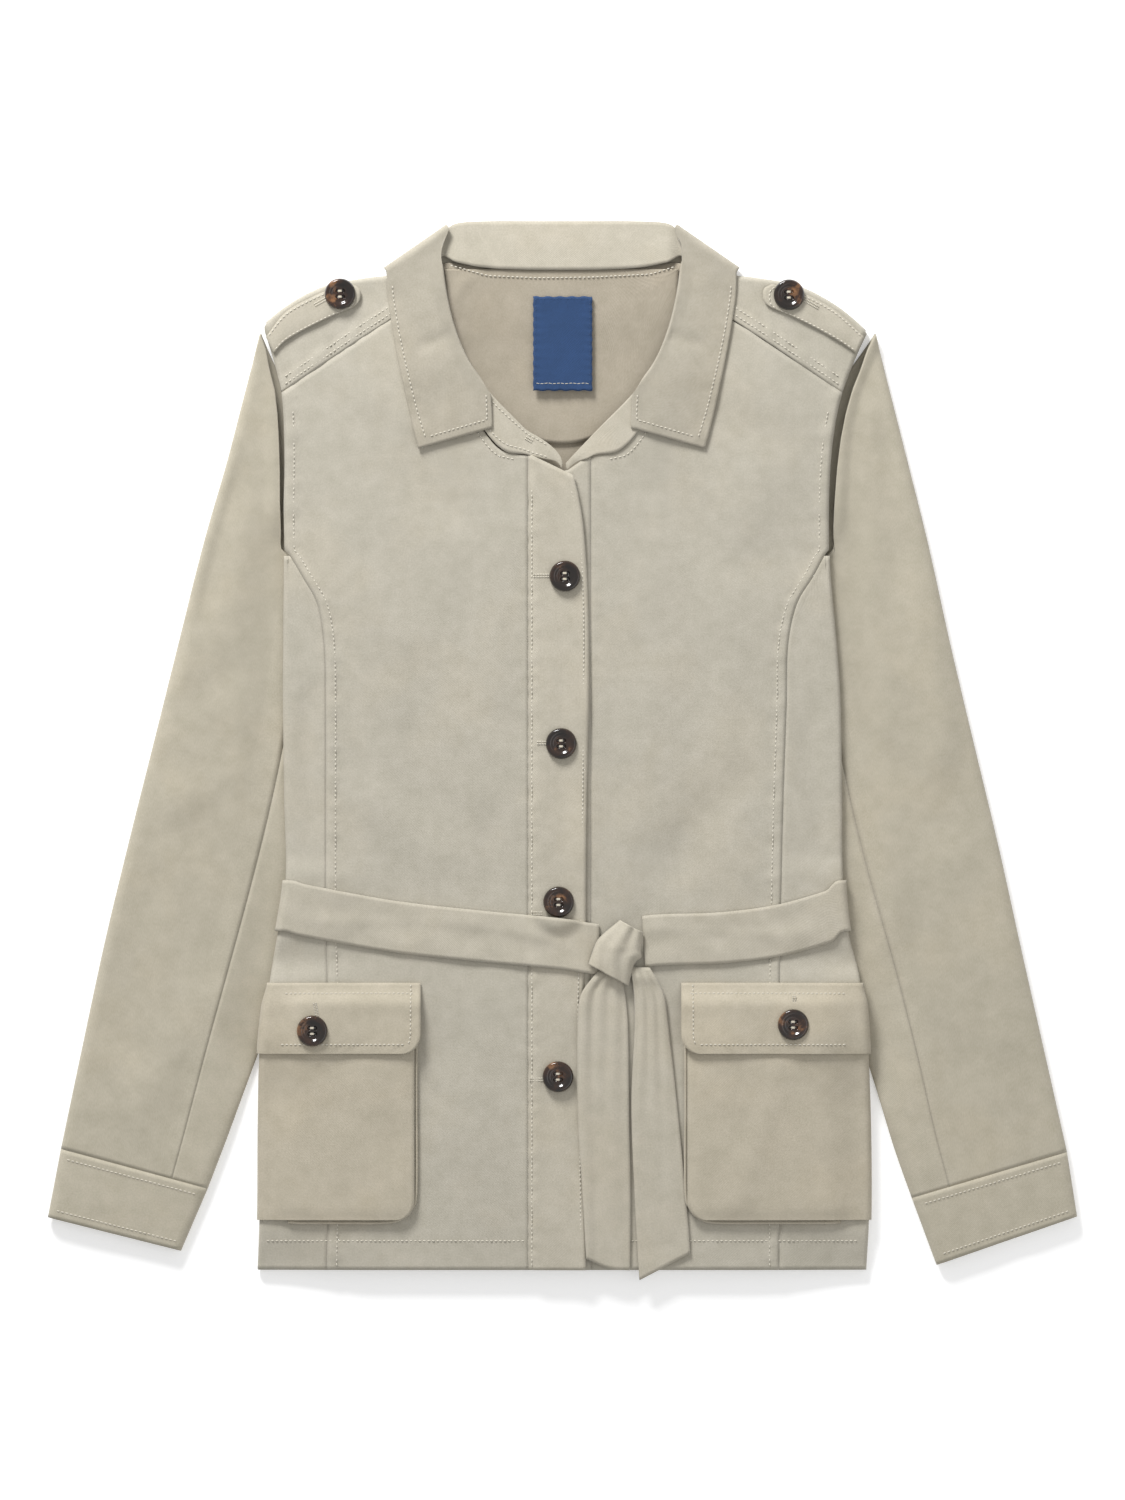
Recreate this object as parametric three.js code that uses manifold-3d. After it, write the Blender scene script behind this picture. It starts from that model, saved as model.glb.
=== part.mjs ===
// Belted safari jacket in cotton twill, laid flat on its back with the sleeves down its sides.
// Millimetres. +X is the viewer's right, +Y runs from hem to collar, +Z points up from the table.
import * as THREE from 'three';
import { mergeVertices } from 'three/addons/utils/BufferGeometryUtils.js';
import Module from 'manifold-3d';

const wasm = await Module();
wasm.setup();

// Cloth and stacking
const cloth = 1.2;              // wall of one layer of cloth
const seamGap = 0.3;            // air between two pieces at a seam
const layer = cloth + 0.45;     // rise from one layer's middle to the next one's
const tableMid = cloth / 2;     // middle of a layer that lies on the table

// Body
const hemY = -337.5;
const underarmY = 128;          // where the side fold meets the armhole
const chestHeight = 9.6;        // middle of the front above the table
const foldRadius = 2.2;         // side folds, to the middle of the cloth
const foldSteps = 6;            // flats round a fold

// Sleeves
const sleeveHeight = 8.2;       // thickness where a sleeve lies free
const pressedHeight = 4.4;      // thickness where the body lies on it
const bodyOnSleeve = pressedHeight + 0.4 + cloth / 2;

// Belt
const beltWidth = 33;

// Buttons
const buttonRadius = 10;
const buttonThickness = 3.6;
const holeRadius = 1.1;

// Seams, folds and pockets
const underWrap = 62;           // how far the side panel runs in under the body
const underarmTop = 104;        // underarm point on the underside
const liftRun = 46;             // run over which the back rises on to a sleeve
const sleeveLeavesY = -182;     // where a sleeve comes out from under the body
const shoulderFoldRadius = 2.4;
const shoulderHeight = 5.9;     // front layer at the shoulder fold
const armholeHeight = 7.8;      // front layer at the armhole seam
const placketSeamX = 21.8;      // seam of the buttonhole placket
const placketLap = 8;           // how far short of that seam the button placket ends
const placketTopFromY = 111;    // above this the placket rows slant up to the neck
const underPlacketX = 19;       // seam of the button placket
const beltSideY = -101;         // belt's middle at the side folds
const beltAway = layer + 0.4;    // belt's middle off the middle of the cloth under it
const flapTopY = -151;
const flapBottomY = -197;
const pocketBottomY = -305;
const pocketWrap = 30;          // how far a pocket runs in under the body
const yokeNeckX = 86;
const pocketInner = 95.5;       // pocket's inner edge from the middle line, left; the right one is nearer
const pocketInnerRight = 81.5;
const pocketRise = 3.8;         // how far the bellows hold the pocket's face off the body
const cornerRound = 12;         // lower inner corners of the pockets
const headStrip = 7;            // width of the sleeve head that shows beside the armhole seam
const sleeveRound = 7;          // run over which a sleeve's wall turns at its folds

// Widths of the flat body from its middle line, a row for each height.
const bodyRows = [
  { y: hemY, leftEdge: 197.0, rightEdge: 197.3, leftSeam: 152.4, rightSeam: 141.1 },
  { y: -301, leftEdge: 195.6, rightEdge: 199.0, leftSeam: 151.8, rightSeam: 141.1 },
  { y: -241, leftEdge: 195.2, rightEdge: 198.6, leftSeam: 151.8, rightSeam: 141.2 },
  { y: -193, leftEdge: 193.8, rightEdge: 196.6, leftSeam: 151.8, rightSeam: 141.4 },
  { y: -148, leftEdge: 188.6, rightEdge: 192.8, leftSeam: 151.9, rightSeam: 141.4 },
  { y: -118, leftEdge: 183.6, rightEdge: 185.4, leftSeam: 153.0, rightSeam: 141.8 },
  { y: -84, leftEdge: 178.6, rightEdge: 182.0, leftSeam: 153.1, rightSeam: 142.5 },
  { y: -30, leftEdge: 179.6, rightEdge: 181.4, leftSeam: 153.1, rightSeam: 143.8 },
  { y: 32, leftEdge: 180.4, rightEdge: 180.4, leftSeam: 153.1, rightSeam: 145.9 },
  { y: 68, leftEdge: 180.2, rightEdge: 178.0, leftSeam: 153.9, rightSeam: 146.8 },
  { y: 95, leftEdge: 180.0, rightEdge: 175.6, leftSeam: 158.6, rightSeam: 152.6 },
  { y: 113, leftEdge: 179.8, rightEdge: 174.0, leftSeam: 168.6, rightSeam: 163.4 },
  { y: underarmY, leftEdge: 179.8, rightEdge: 173.4, leftSeam: 177.6, rightSeam: 171.4 },
];

// Front armhole seam from the underarm up to the shoulder.
const armholeRows = [
  { y: underarmY, left: 179.8, right: 173.4 },
  { y: 158, left: 180.4, right: 173.4 },
  { y: 181, left: 179.9, right: 174.2 },
  { y: 207, left: 180.2, right: 176.8 },
  { y: 232, left: 181.9, right: 182.2 },
  { y: 258, left: 188.6, right: 192.4 },
  { y: 272, left: 193.0, right: 199.0 },
];

// Shoulder fold: height of the folded edge, from the neck out to the sleeve.
const shoulderRows = [
  { x: 84, y: 321 },
  { x: 92, y: 315.5 },
  { x: 98, y: 312 },
  { x: 114, y: 307.5 },
  { x: 124, y: 306.5 },
  { x: 150, y: 302 },
  { x: 165, y: 296 },
  { x: 180, y: 287 },
  { x: 190, y: 279 },
  { x: 197, y: 272.5 },
];

// Sleeves: outer and inner edge at steps down the arm, first at the armhole and last at the cuff seam.
const sleeveRows = {
  left: [
    { outer: [-195.4, 270], inner: [-118, 104] },
    { outer: [-205.5, 231], inner: [-121, 72] },
    { outer: [-217.2, 186], inner: [-126, 36] },
    { outer: [-232.4, 133], inner: [-134, -4] },
    { outer: [-248.2, 70], inner: [-147, -52] },
    { outer: [-264.4, 5], inner: [-164, -104] },
    { outer: [-280.7, -60], inner: [-183, -157] },
    { outer: [-296.3, -125], inner: [-203, -211] },
    { outer: [-311.5, -196], inner: [-218, -252] },
    { outer: [-324.7, -259], inner: [-230.4, -284.5] },
  ],
  right: [
    { outer: [203.4, 270], inner: [116, 104] },
    { outer: [212.0, 235], inner: [119, 72] },
    { outer: [223.4, 190], inner: [124, 36] },
    { outer: [237.6, 133], inner: [133, -4] },
    { outer: [252.0, 68], inner: [147, -52] },
    { outer: [267.4, 3], inner: [164, -104] },
    { outer: [283.0, -62], inner: [184, -157] },
    { outer: [297.6, -128], inner: [202, -211] },
    { outer: [313.4, -198], inner: [216, -257] },
    { outer: [327.6, -261], inner: [227.8, -290.5] },
  ],
};

// Cuffs: corners at the seam and at the lower edge, outer side first.
const cuffCorners = {
  left: { lowerOuter: [-333.2, -303.5], lowerInner: [-247.8, -325.0] },
  right: { lowerOuter: [334.2, -303.0], lowerInner: [244.0, -334.2] },
};

const twill = { color: 0xbfb9aa, roughness: 0.9 };
const twillLight = { color: 0xc7c2b3, roughness: 0.9 };
const horn = { color: 0x2a1b12, roughness: 0.25 };
const wovenBlue = { color: 0x35507a, roughness: 0.75 };

const jacket = new THREE.Group();

function mix(a, b, t) {
  return a + (b - a) * t;
}

function ease(t) {
  const c = Math.min(1, Math.max(0, t));
  return c * c * (3 - 2 * c);
}

// Smooth curve through the rows of a table: the value of one column at a place in another.
function column(rows, place, key, at) {
  const last = rows.length - 1;
  let i = 0;
  while (i < last - 1 && (rows[i + 1][place] - at) * (rows[last][place] - rows[0][place]) < 0) {
    i += 1;
  }
  const slope = (j) => {
    const a = rows[Math.max(0, j - 1)];
    const b = rows[Math.min(last, j + 1)];
    return (b[key] - a[key]) / (b[place] - a[place]);
  };
  const a = rows[i];
  const b = rows[i + 1];
  const span = b[place] - a[place];
  const t = Math.min(1, Math.max(0, (at - a[place]) / span));
  const s = t * t * (3 - 2 * t);
  const bendA = slope(i) * span * t * (1 - t) * (1 - t);
  const bendB = slope(i + 1) * span * t * t * (1 - t);
  return mix(a[key], b[key], s) + bendA - bendB;
}

// Point at a share of the length of a bent line through points.
function alongLine(points, share) {
  const lengths = [0];
  for (let i = 1; i < points.length; i += 1) {
    const step = Math.hypot(...points[i].map((value, k) => value - points[i - 1][k]));
    lengths.push(lengths[i - 1] + step);
  }
  const target = share * lengths[points.length - 1];
  let i = 1;
  while (i < points.length - 1 && lengths[i] < target) {
    i += 1;
  }
  const t = (target - lengths[i - 1]) / (lengths[i] - lengths[i - 1]);
  return points[i].map((value, k) => mix(points[i - 1][k], value, t));
}

// Smooth curve through points, as a list of points a few millimetres apart.
function curve(points, pieces = 24) {
  const spline = new THREE.CatmullRomCurve3(
    points.map((p) => new THREE.Vector3(p[0], p[1], p[2] || 0)), false, 'centripetal');
  return spline.getPoints(pieces).map((p) => [p.x, p.y, p.z]);
}

// Patch between four border lines: bottom and top run with u, sides run with v.
function coons(bottom, top, start, end, u, v) {
  const b = alongLine(bottom, u);
  const t = alongLine(top, u);
  const s = alongLine(start, v);
  const e = alongLine(end, v);
  const corners = [bottom[0], bottom[bottom.length - 1], top[0], top[top.length - 1]];
  return b.map((value, k) => mix(value, t[k], v) + mix(s[k], e[k], u)
    - mix(mix(corners[0][k], corners[1][k], u), mix(corners[2][k], corners[3][k], u), v));
}

// Even steps from 0 to 1.
function steps(count) {
  return Array.from({ length: count + 1 }, (unused, i) => i / count);
}

// Closed wall of cloth on a grid of points, thickened along the grid's own normals.
function clothWall(grid, thickness = cloth) {
  const rows = grid.length;
  const cols = grid[0].length;
  const at = (i, j) => new THREE.Vector3(...grid[i][j]);
  const positions = [];
  for (const side of [0.5, -0.5]) {
    for (let i = 0; i < rows; i += 1) {
      for (let j = 0; j < cols; j += 1) {
        const across = at(i, Math.min(cols - 1, j + 1)).sub(at(i, Math.max(0, j - 1)));
        const along = at(Math.min(rows - 1, i + 1), j).sub(at(Math.max(0, i - 1), j));
        const normal = across.cross(along).normalize();
        const p = at(i, j).addScaledVector(normal, side * thickness);
        positions.push(p.x, p.y, p.z);
      }
    }
  }
  const top = (i, j) => i * cols + j;
  const under = (i, j) => rows * cols + i * cols + j;
  const faces = [];
  const quad = (a, b, c, d) => faces.push(a, b, c, a, c, d);
  for (let i = 0; i < rows - 1; i += 1) {
    for (let j = 0; j < cols - 1; j += 1) {
      quad(top(i, j), top(i, j + 1), top(i + 1, j + 1), top(i + 1, j));
      quad(under(i, j), under(i + 1, j), under(i + 1, j + 1), under(i, j + 1));
    }
  }
  for (let j = 0; j < cols - 1; j += 1) {
    quad(under(0, j), under(0, j + 1), top(0, j + 1), top(0, j));
    quad(top(rows - 1, j), top(rows - 1, j + 1), under(rows - 1, j + 1), under(rows - 1, j));
  }
  for (let i = 0; i < rows - 1; i += 1) {
    quad(top(i, 0), top(i + 1, 0), under(i + 1, 0), under(i, 0));
    quad(under(i, cols - 1), under(i + 1, cols - 1), top(i + 1, cols - 1), top(i, cols - 1));
  }
  return meshGeometry(positions, faces);
}

// Geometry whose faces point out: turned round if its volume comes out negative.
function meshGeometry(positions, faces) {
  let volume = 0;
  const v = (i) => new THREE.Vector3().fromArray(positions, i * 3);
  for (let i = 0; i < faces.length; i += 3) {
    volume += v(faces[i]).dot(v(faces[i + 1]).cross(v(faces[i + 2])));
  }
  if (volume < 0) {
    for (let i = 0; i < faces.length; i += 3) {
      [faces[i + 1], faces[i + 2]] = [faces[i + 2], faces[i + 1]];
    }
  }
  const geometry = new THREE.BufferGeometry();
  geometry.setAttribute('position', new THREE.Float32BufferAttribute(positions, 3));
  geometry.setIndex(faces);
  geometry.computeVertexNormals();
  return geometry;
}

function addPiece(name, geometry, finish) {
  const mesh = new THREE.Mesh(geometry, new THREE.MeshStandardMaterial({ metalness: 0, ...finish }));
  mesh.name = name;
  jacket.add(mesh);
  return mesh;
}

// Heights of the rows that the front, side panel and back share along their seams.
const levelY = 35;
const panelYs = [hemY, -305, -260, -215, -197, -185, -165, -150, -136, -119, -83, -66, -30, 35, 72, 92, 106, 117, underarmY - 2];
const armholeYs = [underarmY - 2, 142, 160, 181, 200, 217, 232];

// Front neck seam from the placket up to the yoke, and the yoke seam on to the armhole.
const neckFront = [[21.8, 191], [32, 192.5], [42, 196.5], [54.5, 213], [67, 238], [77, 267], [83, 296]];
const yokeSeam = [[83, 296], [97, 289], [114, 277.5], [131, 266.5], [148, 255], [165, 243.5], [182, 232]];

// Back armhole on the underside, from the underarm up to the shoulder.
const backArmhole = [[118, 104], [131, 113], [144, 127], [155, 146], [162, 170], [167, 200], [174, 228], [182, 246]];

// Columns of the back, as shares of its half width.
const backShares = [0, 0.22, 0.38, 0.472, 0.6, 0.75, 0.88, 1];

// Back neck seam and the yoke seams on the underside: height at a distance from the middle.
const backTopRows = [
  { x: 0, y: 313 }, { x: 27, y: 313.2 }, { x: 55, y: 314.6 }, { x: 73, y: 316.6 }, { x: 86, y: 314 },
];

// Middle of the belt on the front: it dips towards the knot.
const beltRows = [
  { x: -184, y: -100.4 }, { x: -144, y: -108.2 }, { x: -105, y: -114.8 }, { x: -53, y: -120.6 }, { x: -1, y: -125.5 },
  { x: 30, y: -129.5 }, { x: 55, y: -123.8 }, { x: 103, y: -121.7 }, { x: 142, y: -116.3 }, { x: 186, y: -103.6 },
];

// Columns of the belt under the body: close together where the body rises on to the sleeves.
const beltUnderXs = [172, 160, 148, 136, 124, 110, 60, 0];

// Belt tails: left and right edges down their length.
const tailRows = {
  left: [
    { y: -149, from: 17, to: 38 }, { y: -158, from: 12.9, to: 41 }, { y: -178, from: 10.5, to: 42.9 },
    { y: -241, from: 10.7, to: 43.6 }, { y: -290, from: 13.6, to: 44.6 }, { y: -330, from: 15.8, to: 44.3 },
  ],
  right: [
    { y: -147, from: 45.2, to: 62 }, { y: -158, from: 47, to: 66 }, { y: -178, from: 47.4, to: 69 },
    { y: -228, from: 45.2, to: 74.6 }, { y: -290, from: 47.4, to: 80.4 }, { y: -334, from: 50.4, to: 83.4 },
  ],
};

// Collar, a row from the front end to the middle of the back: where it meets the neck, and where it rolls.
const collarRows = [
  { neck: [3.2, 182, 9.5], roll: [2.6, 186, 9.5] },
  { neck: [20, 194.2, 9.5], roll: [22.4, 207, 9.5] },
  { neck: [37.2, 197.6, 9.5], roll: [45.8, 231, 9.4] },
  { neck: [51.9, 213.8, 9.4], roll: [60.2, 250, 9.2] },
  { neck: [64.4, 239.3, 9.2], roll: [69, 270, 8.8] },
  { neck: [74.6, 268.2, 8.8], roll: [74.5, 290, 8.2] },
  { neck: [80.9, 296, 8], roll: [77.5, 308, 7.2] },
  { neck: [83.4, 311, 6], roll: [78, 321, 5.6] },
  { neck: [79, 320.6, 3.6], roll: [76.2, 334, 3.6] },
  { neck: [67, 318, 2.6], roll: [71, 341, 2.6] },
  { neck: [50, 314.9, 2.3], roll: [58, 343.2, 2.3] },
  { neck: [25, 313.6, 2.3], roll: [29, 343.4, 2.3] },
  { neck: [0, 313.4, 2.3], roll: [0, 343.4, 2.3] },
];
const leafRoll = [[45.8, 230.5], [60.2, 250], [69, 270], [74.5, 290], [77.5, 308], [78, 324], [73, 338.5]];
const leafEdge = [[93, 195.5], [99, 219], [103.5, 240], [108, 262], [111, 280], [113.2, 296], [113.6, 310.5]];
const leafFront = [[45.8, 230.5], [44.8, 209], [93, 195.5]];
const leafBackEdge = [[113.6, 310.5], [104, 301.5], [79, 297.8], [40, 296.8], [0, 296.4]];
const leafBackRoll = [[73, 338.5], [66, 342.6], [45, 343.6], [22, 343.6], [0, 343.6]];
const leafFoldRadius = 3;

// Where the buttons sit, seen from above.
const buttonPlaces = [
  { name: 'front_1', x: 2.1, y: 112.8 }, { name: 'front_2', x: -0.3, y: 4.2 },
  { name: 'front_3', x: -2, y: -98.6 }, { name: 'front_4', x: -2.4, y: -211.9 },
  { name: 'epaulette_left', x: -143.8, y: 296 }, { name: 'epaulette_right', x: 147.5, y: 295.4 },
  { name: 'pocket_left', x: -161.6, y: -182 }, { name: 'pocket_right', x: 150, y: -178 },
];

// Height of the placket rows and the free edge of the upper placket.
const placketYs = [hemY, -275, -215, -160, -136, -101, -66, -20, 35, 80, 111, 130, 147, 160, 172];
const placketEdgeRows = [
  { y: hemY, x: 15.6 }, { y: -240, x: 14.6 }, { y: -160, x: 13.6 }, { y: -110, x: 15.4 }, { y: -30, x: 16.6 },
  { y: 60, x: 17.2 }, { y: 111, x: 16.6 }, { y: 142, x: 14.6 }, { y: 158, x: 12.0 }, { y: 172, x: 8.2 },
];

function placketEdgeAt(y) {
  return column(placketEdgeRows, 'y', 'x', y);
}

// Value of a table of points at a height.
function alongTable(points, y) {
  const rows = points.map(([x, py]) => ({ y: py, x }));
  return column(rows, 'y', 'x', y);
}

// Height of the back's upper edge at a distance from the middle.
function backTopAt(x) {
  const corner = backArmhole[backArmhole.length - 1];
  return x < 86 ? column(backTopRows, 'x', 'y', x) : mix(314, corner[1], (x - 86) / (corner[0] - 86));
}

// Body surface

const signOf = { left: -1, right: 1 };

function edgeAt(side, y) {
  if (y > underarmY) {
    return column(armholeRows, 'y', side, y);
  }
  return column(bodyRows, 'y', `${side}Edge`, y);
}

function princessAt(side, y) {
  return column(bodyRows, 'y', `${side}Seam`, y);
}

function shoulderAt(x) {
  return column(shoulderRows, 'x', 'y', x);
}

function sideSeamAt(side, y) {
  return edgeAt(side, Math.min(y, underarmY)) - underWrap;
}

// Inner edge of a sleeve, as a distance from the middle line.
function sleeveInnerAt(side, y) {
  const rows = sleeveRows[side].map((row) => ({ y: row.inner[1], x: Math.abs(row.inner[0]) }));
  return column(rows, 'y', 'x', y);
}

// Middle height of the back layer: it lies on the table, and lifts over what is under it.
function backHeight(side, x, y) {
  const overSleeve = ease((x - sleeveInnerAt(side, y) + liftRun) / liftRun)
    * ease((y - sleeveLeavesY + 50) / 50) * ease((underarmTop + 82 - y) / 56);
  const overBelt = ease((beltWidth / 2 + 18 - Math.abs(y - beltSideY)) / 16);
  const pocketEdge = edgeAt(side, Math.min(y, underarmY)) - pocketWrap;
  const overPocket = ease((x - pocketEdge + 26) / 22)
    * (ease((y - pocketBottomY + 16) / 14) * ease((flapTopY + 12 - y) / 12)
      + ease((y - flapBottomY + 14) / 12) * ease((flapTopY + 12 - y) / 12));
  const overCollar = ease((y - 250) / 42) * ease((125 - x) / 15);
  const lift = (bodyOnSleeve - tableMid) * overSleeve;
  return tableMid + lift + beltAway * overBelt + layer * (overPocket + overCollar);
}

// Middle height of the front layer: nearly level, and lower towards its folds.
function frontHeight(side, x, y) {
  const edge = edgeAt(side, y);
  const r = foldRadius;
  const atFold = backHeight(side, edge - r, y) + 2 * r;
  const atEdge = mix(atFold, armholeHeight, ease((y - 100) / 35));
  const across = mix(atEdge, chestHeight, ease((edge - x) / 75));
  return mix(shoulderHeight, across, ease((shoulderAt(x) - shoulderFoldRadius - y) / 80));
}

// Height that the placket adds where it lies on the fronts.
function placketStep(side, x, y) {
  const signed = signOf[side] * x;
  const from = ease((signed + placketSeamX + 1) / 7);
  const to = ease((placketEdgeAt(y) + 7.5 - signed) / 7);
  return layer * from * to;
}

// Point of the body at w along it from the middle line, round the side fold, moved out by d.
function bodyPoint(side, w, y, d, overPlacket = false) {
  const sign = signOf[side];
  const r = foldRadius;
  const edge = edgeAt(side, y);
  const past = w - (edge - r);
  if (past <= 0) {
    const step = overPlacket ? placketStep(side, w, y) : 0;
    return [sign * w, y, frontHeight(side, w, y) + d + step];
  }
  const middle = backHeight(side, edge - r, y) + r;
  const angle = past / r;
  if (angle <= Math.PI) {
    return [sign * (edge - r + (r + d) * Math.sin(angle)), y, middle + (r + d) * Math.cos(angle)];
  }
  const x = edge - r - (past - Math.PI * r);
  return [sign * x, y, backHeight(side, x, y) - d];
}

// Height of a row: level up to the chest, then stretched so that rows meet along a shared seam.
function rowY(y, ownTop, seamTop) {
  return y <= levelY ? y : levelY + (y - levelY) * (ownTop - levelY) / (seamTop - levelY);
}

// Front: from the placket to the princess seam and armhole, up to the neck and yoke seams.
function front(side) {
  const top = [...curve(neckFront, 5), ...yokeSeam.slice(1)];
  const outerAt = (y) => (y < underarmY ? princessAt(side, y) : edgeAt(side, y)) - seamGap / 2;
  const innerX = side === 'left' ? placketSeamX + seamGap / 2 : underPlacketX + seamGap / 2;
  const corner = yokeSeam[yokeSeam.length - 1][1];
  const rows = [...panelYs, ...armholeYs.slice(1)];
  const columns = top.map(([x, y]) => ({
    u: (x - placketSeamX) / (outerAt(y) - placketSeamX),
    topY: y - seamGap / 2,
  }));
  columns[columns.length - 1].u = 1;
  columns[0].u = 0;
  const grid = rows.map((y) => columns.map(({ u, topY }) => {
    const py = rowY(y, topY, corner);
    return bodyPoint(side, mix(innerX, outerAt(py), u), py, 0);
  }));
  addPiece(`front_${side}`, clothWall(grid), twill);
}

// Side panel: from the princess seam round the side fold to the side seam on the underside.
function sidePanel(side) {
  const grid = panelYs.map((y) => {
    const line = [];
    const r = foldRadius;
    const foldStart = edgeAt(side, y) - r;
    const seam = princessAt(side, y) + seamGap / 2;
    for (const u of steps(2)) {
      line.push(bodyPoint(side, Math.min(mix(seam, foldStart, u), foldStart - 0.01 * (1 - u)), y, 0));
    }
    for (const u of steps(foldSteps).slice(1)) {
      line.push(bodyPoint(side, foldStart + u * Math.PI * r, y, 0));
    }
    for (const u of steps(4).slice(1)) {
      const topY = mix(underarmY - 2, underarmTop, ease(u));
      const py = rowY(y, topY, underarmY - 2);
      const ownEdge = edgeAt(side, py) - foldRadius;
      const x = mix(ownEdge, sideSeamAt(side, py) + seamGap / 2, u);
      line.push(bodyPoint(side, ownEdge + Math.PI * foldRadius + ownEdge - x, py, 0));
    }
    return line;
  });
  addPiece(`side_panel_${side}`, clothWall(grid), twill);
}

// Back: one piece on the table, from side seam to side seam, up to the neck and the yokes.
function backPanel() {
  const half = (side) => {
    const rows = [...panelYs.map((y) => rowY(y, underarmTop, underarmY - 2)), ...backArmhole.slice(1).map((p) => p[1])];
    const outerAt = (y) => (y <= underarmTop ? sideSeamAt(side, y) : alongTable(backArmhole, y)) - seamGap / 2;
    const [cornerX, cornerY] = backArmhole[backArmhole.length - 1];
    return rows.map((y) => backShares.map((share) => {
      const py = rowY(y, backTopAt(share * cornerX) - seamGap / 2, cornerY);
      const x = outerAt(Math.min(py, cornerY)) * share;
      return [signOf[side] * x, py, backHeight(side, x, py)];
    }));
  };
  const left = half('left');
  const right = half('right');
  const grid = left.map((line, i) => [...line.slice().reverse(), ...right[i].slice(1)]);
  addPiece('back_panel', clothWall(grid), twill);
}

// Yoke: from the seam on the front over the shoulder fold to a seam on the underside.
function yoke(side) {
  const r = shoulderFoldRadius;
  const grid = yokeSeam.map((seamPoint, place) => {
    const line = [];
    const u = place / (yokeSeam.length - 1);
    const nearNeck = u === 0;
    const x0 = seamPoint[0] + (nearNeck ? seamGap / 2 : 0);
    const outerTop = edgeAt(side, 268) - seamGap / 2;
    const xTop = mix(yokeNeckX, outerTop, u);
    const foldY = shoulderAt(xTop) - r;
    for (const v of steps(5)) {
      const y = mix(seamPoint[1] + seamGap / 2, foldY, v);
      let x = mix(x0, xTop, v);
      if (u === 1) {
        x = edgeAt(side, y) - seamGap / 2;
      }
      line.push([signOf[side] * x, y, frontHeight(side, x, y)]);
    }
    const bottomZ = backHeight(side, xTop, foldY);
    const topZ = line[line.length - 1][2];
    const middle = (bottomZ + topZ) / 2;
    const half = (topZ - bottomZ) / 2;
    for (const v of steps(foldSteps).slice(1)) {
      const angle = v * Math.PI;
      line.push([signOf[side] * xTop, foldY + r * Math.sin(angle), middle + half * Math.cos(angle)]);
    }
    for (const v of steps(2).slice(1)) {
      const x = mix(xTop, mix(yokeNeckX, backArmhole[backArmhole.length - 1][0] - seamGap, u), v);
      const y = mix(foldY, backTopAt(x) + seamGap / 2, v);
      line.push([signOf[side] * x, y, backHeight(side, x, y)]);
    }
    return line;
  });
  addPiece(`yoke_${side}`, clothWall(grid), twill);
}

// Placket: the upper one lies on the fronts, the lower one carries the buttons between them.
function plackets() {
  const overTop = (x) => mix(191.5, 177, (x + placketSeamX) / 30);
  const underTop = (x) => mix(179.5, 191.5, Math.max(0, (x - 3) / (underPlacketX - 3)));
  const slant = (y, ownTop) => {
    const share = Math.max(0, y - placketTopFromY) / (placketYs[placketYs.length - 1] - placketTopFromY);
    return y + share * (ownTop - placketYs[placketYs.length - 1]);
  };
  const overGrid = placketYs.map((y) => steps(5).map((u) => {
    const x = mix(-placketSeamX + seamGap / 2, placketEdgeAt(y), u);
    const py = slant(y, overTop(x));
    const lift = layer * ease((x + placketSeamX) / 5);
    return [x, py, frontHeight('left', Math.abs(x), py) + lift];
  }));
  addPiece('placket_over', clothWall(overGrid), twillLight);
  const underGrid = placketYs.map((y) => steps(3).map((u) => {
    const x = mix(-placketSeamX + placketLap, underPlacketX - seamGap / 2, u);
    const py = slant(y, underTop(x));
    return [x, py, frontHeight('right', Math.abs(x), py)];
  }));
  addPiece('placket_under', clothWall(underGrid), twill);
}

// Sleeves

// How far the body presses a sleeve flat: 1 under it, 0 clear of it.
function pressAt(side, x, y) {
  const clear = Math.abs(x) - edgeAt(side, Math.min(y, 268));
  return ease((34 - clear) / 26) * ease((y + 250) / 60);
}

// Rise of the sleeve head to the armhole seam on the front, from the distance to that seam.
function headRise(side, x, y, base) {
  const away = Math.abs(x) - edgeAt(side, Math.min(y, 272));
  const seamZ = mix(base, armholeHeight, ease((y - 134) / 26));
  return Math.max(base, mix(base, seamZ, ease((headStrip + 5 - away) / 5)));
}

// Border of the sleeve at the armhole: down the front seam, then in under the side panel.
function sleeveHead(side) {
  const sign = signOf[side];
  const down = [268, 258, 245, ...armholeYs.slice(1).reverse()];
  const seam = down.map((y) => [sign * (edgeAt(side, y) + seamGap), y]);
  const edge = edgeAt(side, underarmY);
  return [...seam, [sign * (edge + 1.3), 131], [sign * (edge - 4), 125], [sign * (edge - 24), 119],
    [sign * (edge - 44), 109], sleeveRows[side][0].inner];
}

// Border at the back of the armhole, on the table.
function sleeveHeadBack(side) {
  const sign = signOf[side];
  const seam = backArmhole.slice(1).reverse().map(([x, y]) => [sign * (x + 2 * seamGap), y + 0.2]);
  return [[sign * (edgeAt(side, 268) + seamGap), 268], ...seam, sleeveRows[side][0].inner];
}

const sleeveSteps = [0, 0.009, 0.017, 0.024, 0.04, 0.09, 0.18, 0.3, 0.44, 0.58, 0.72, 0.86, 1];

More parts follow.
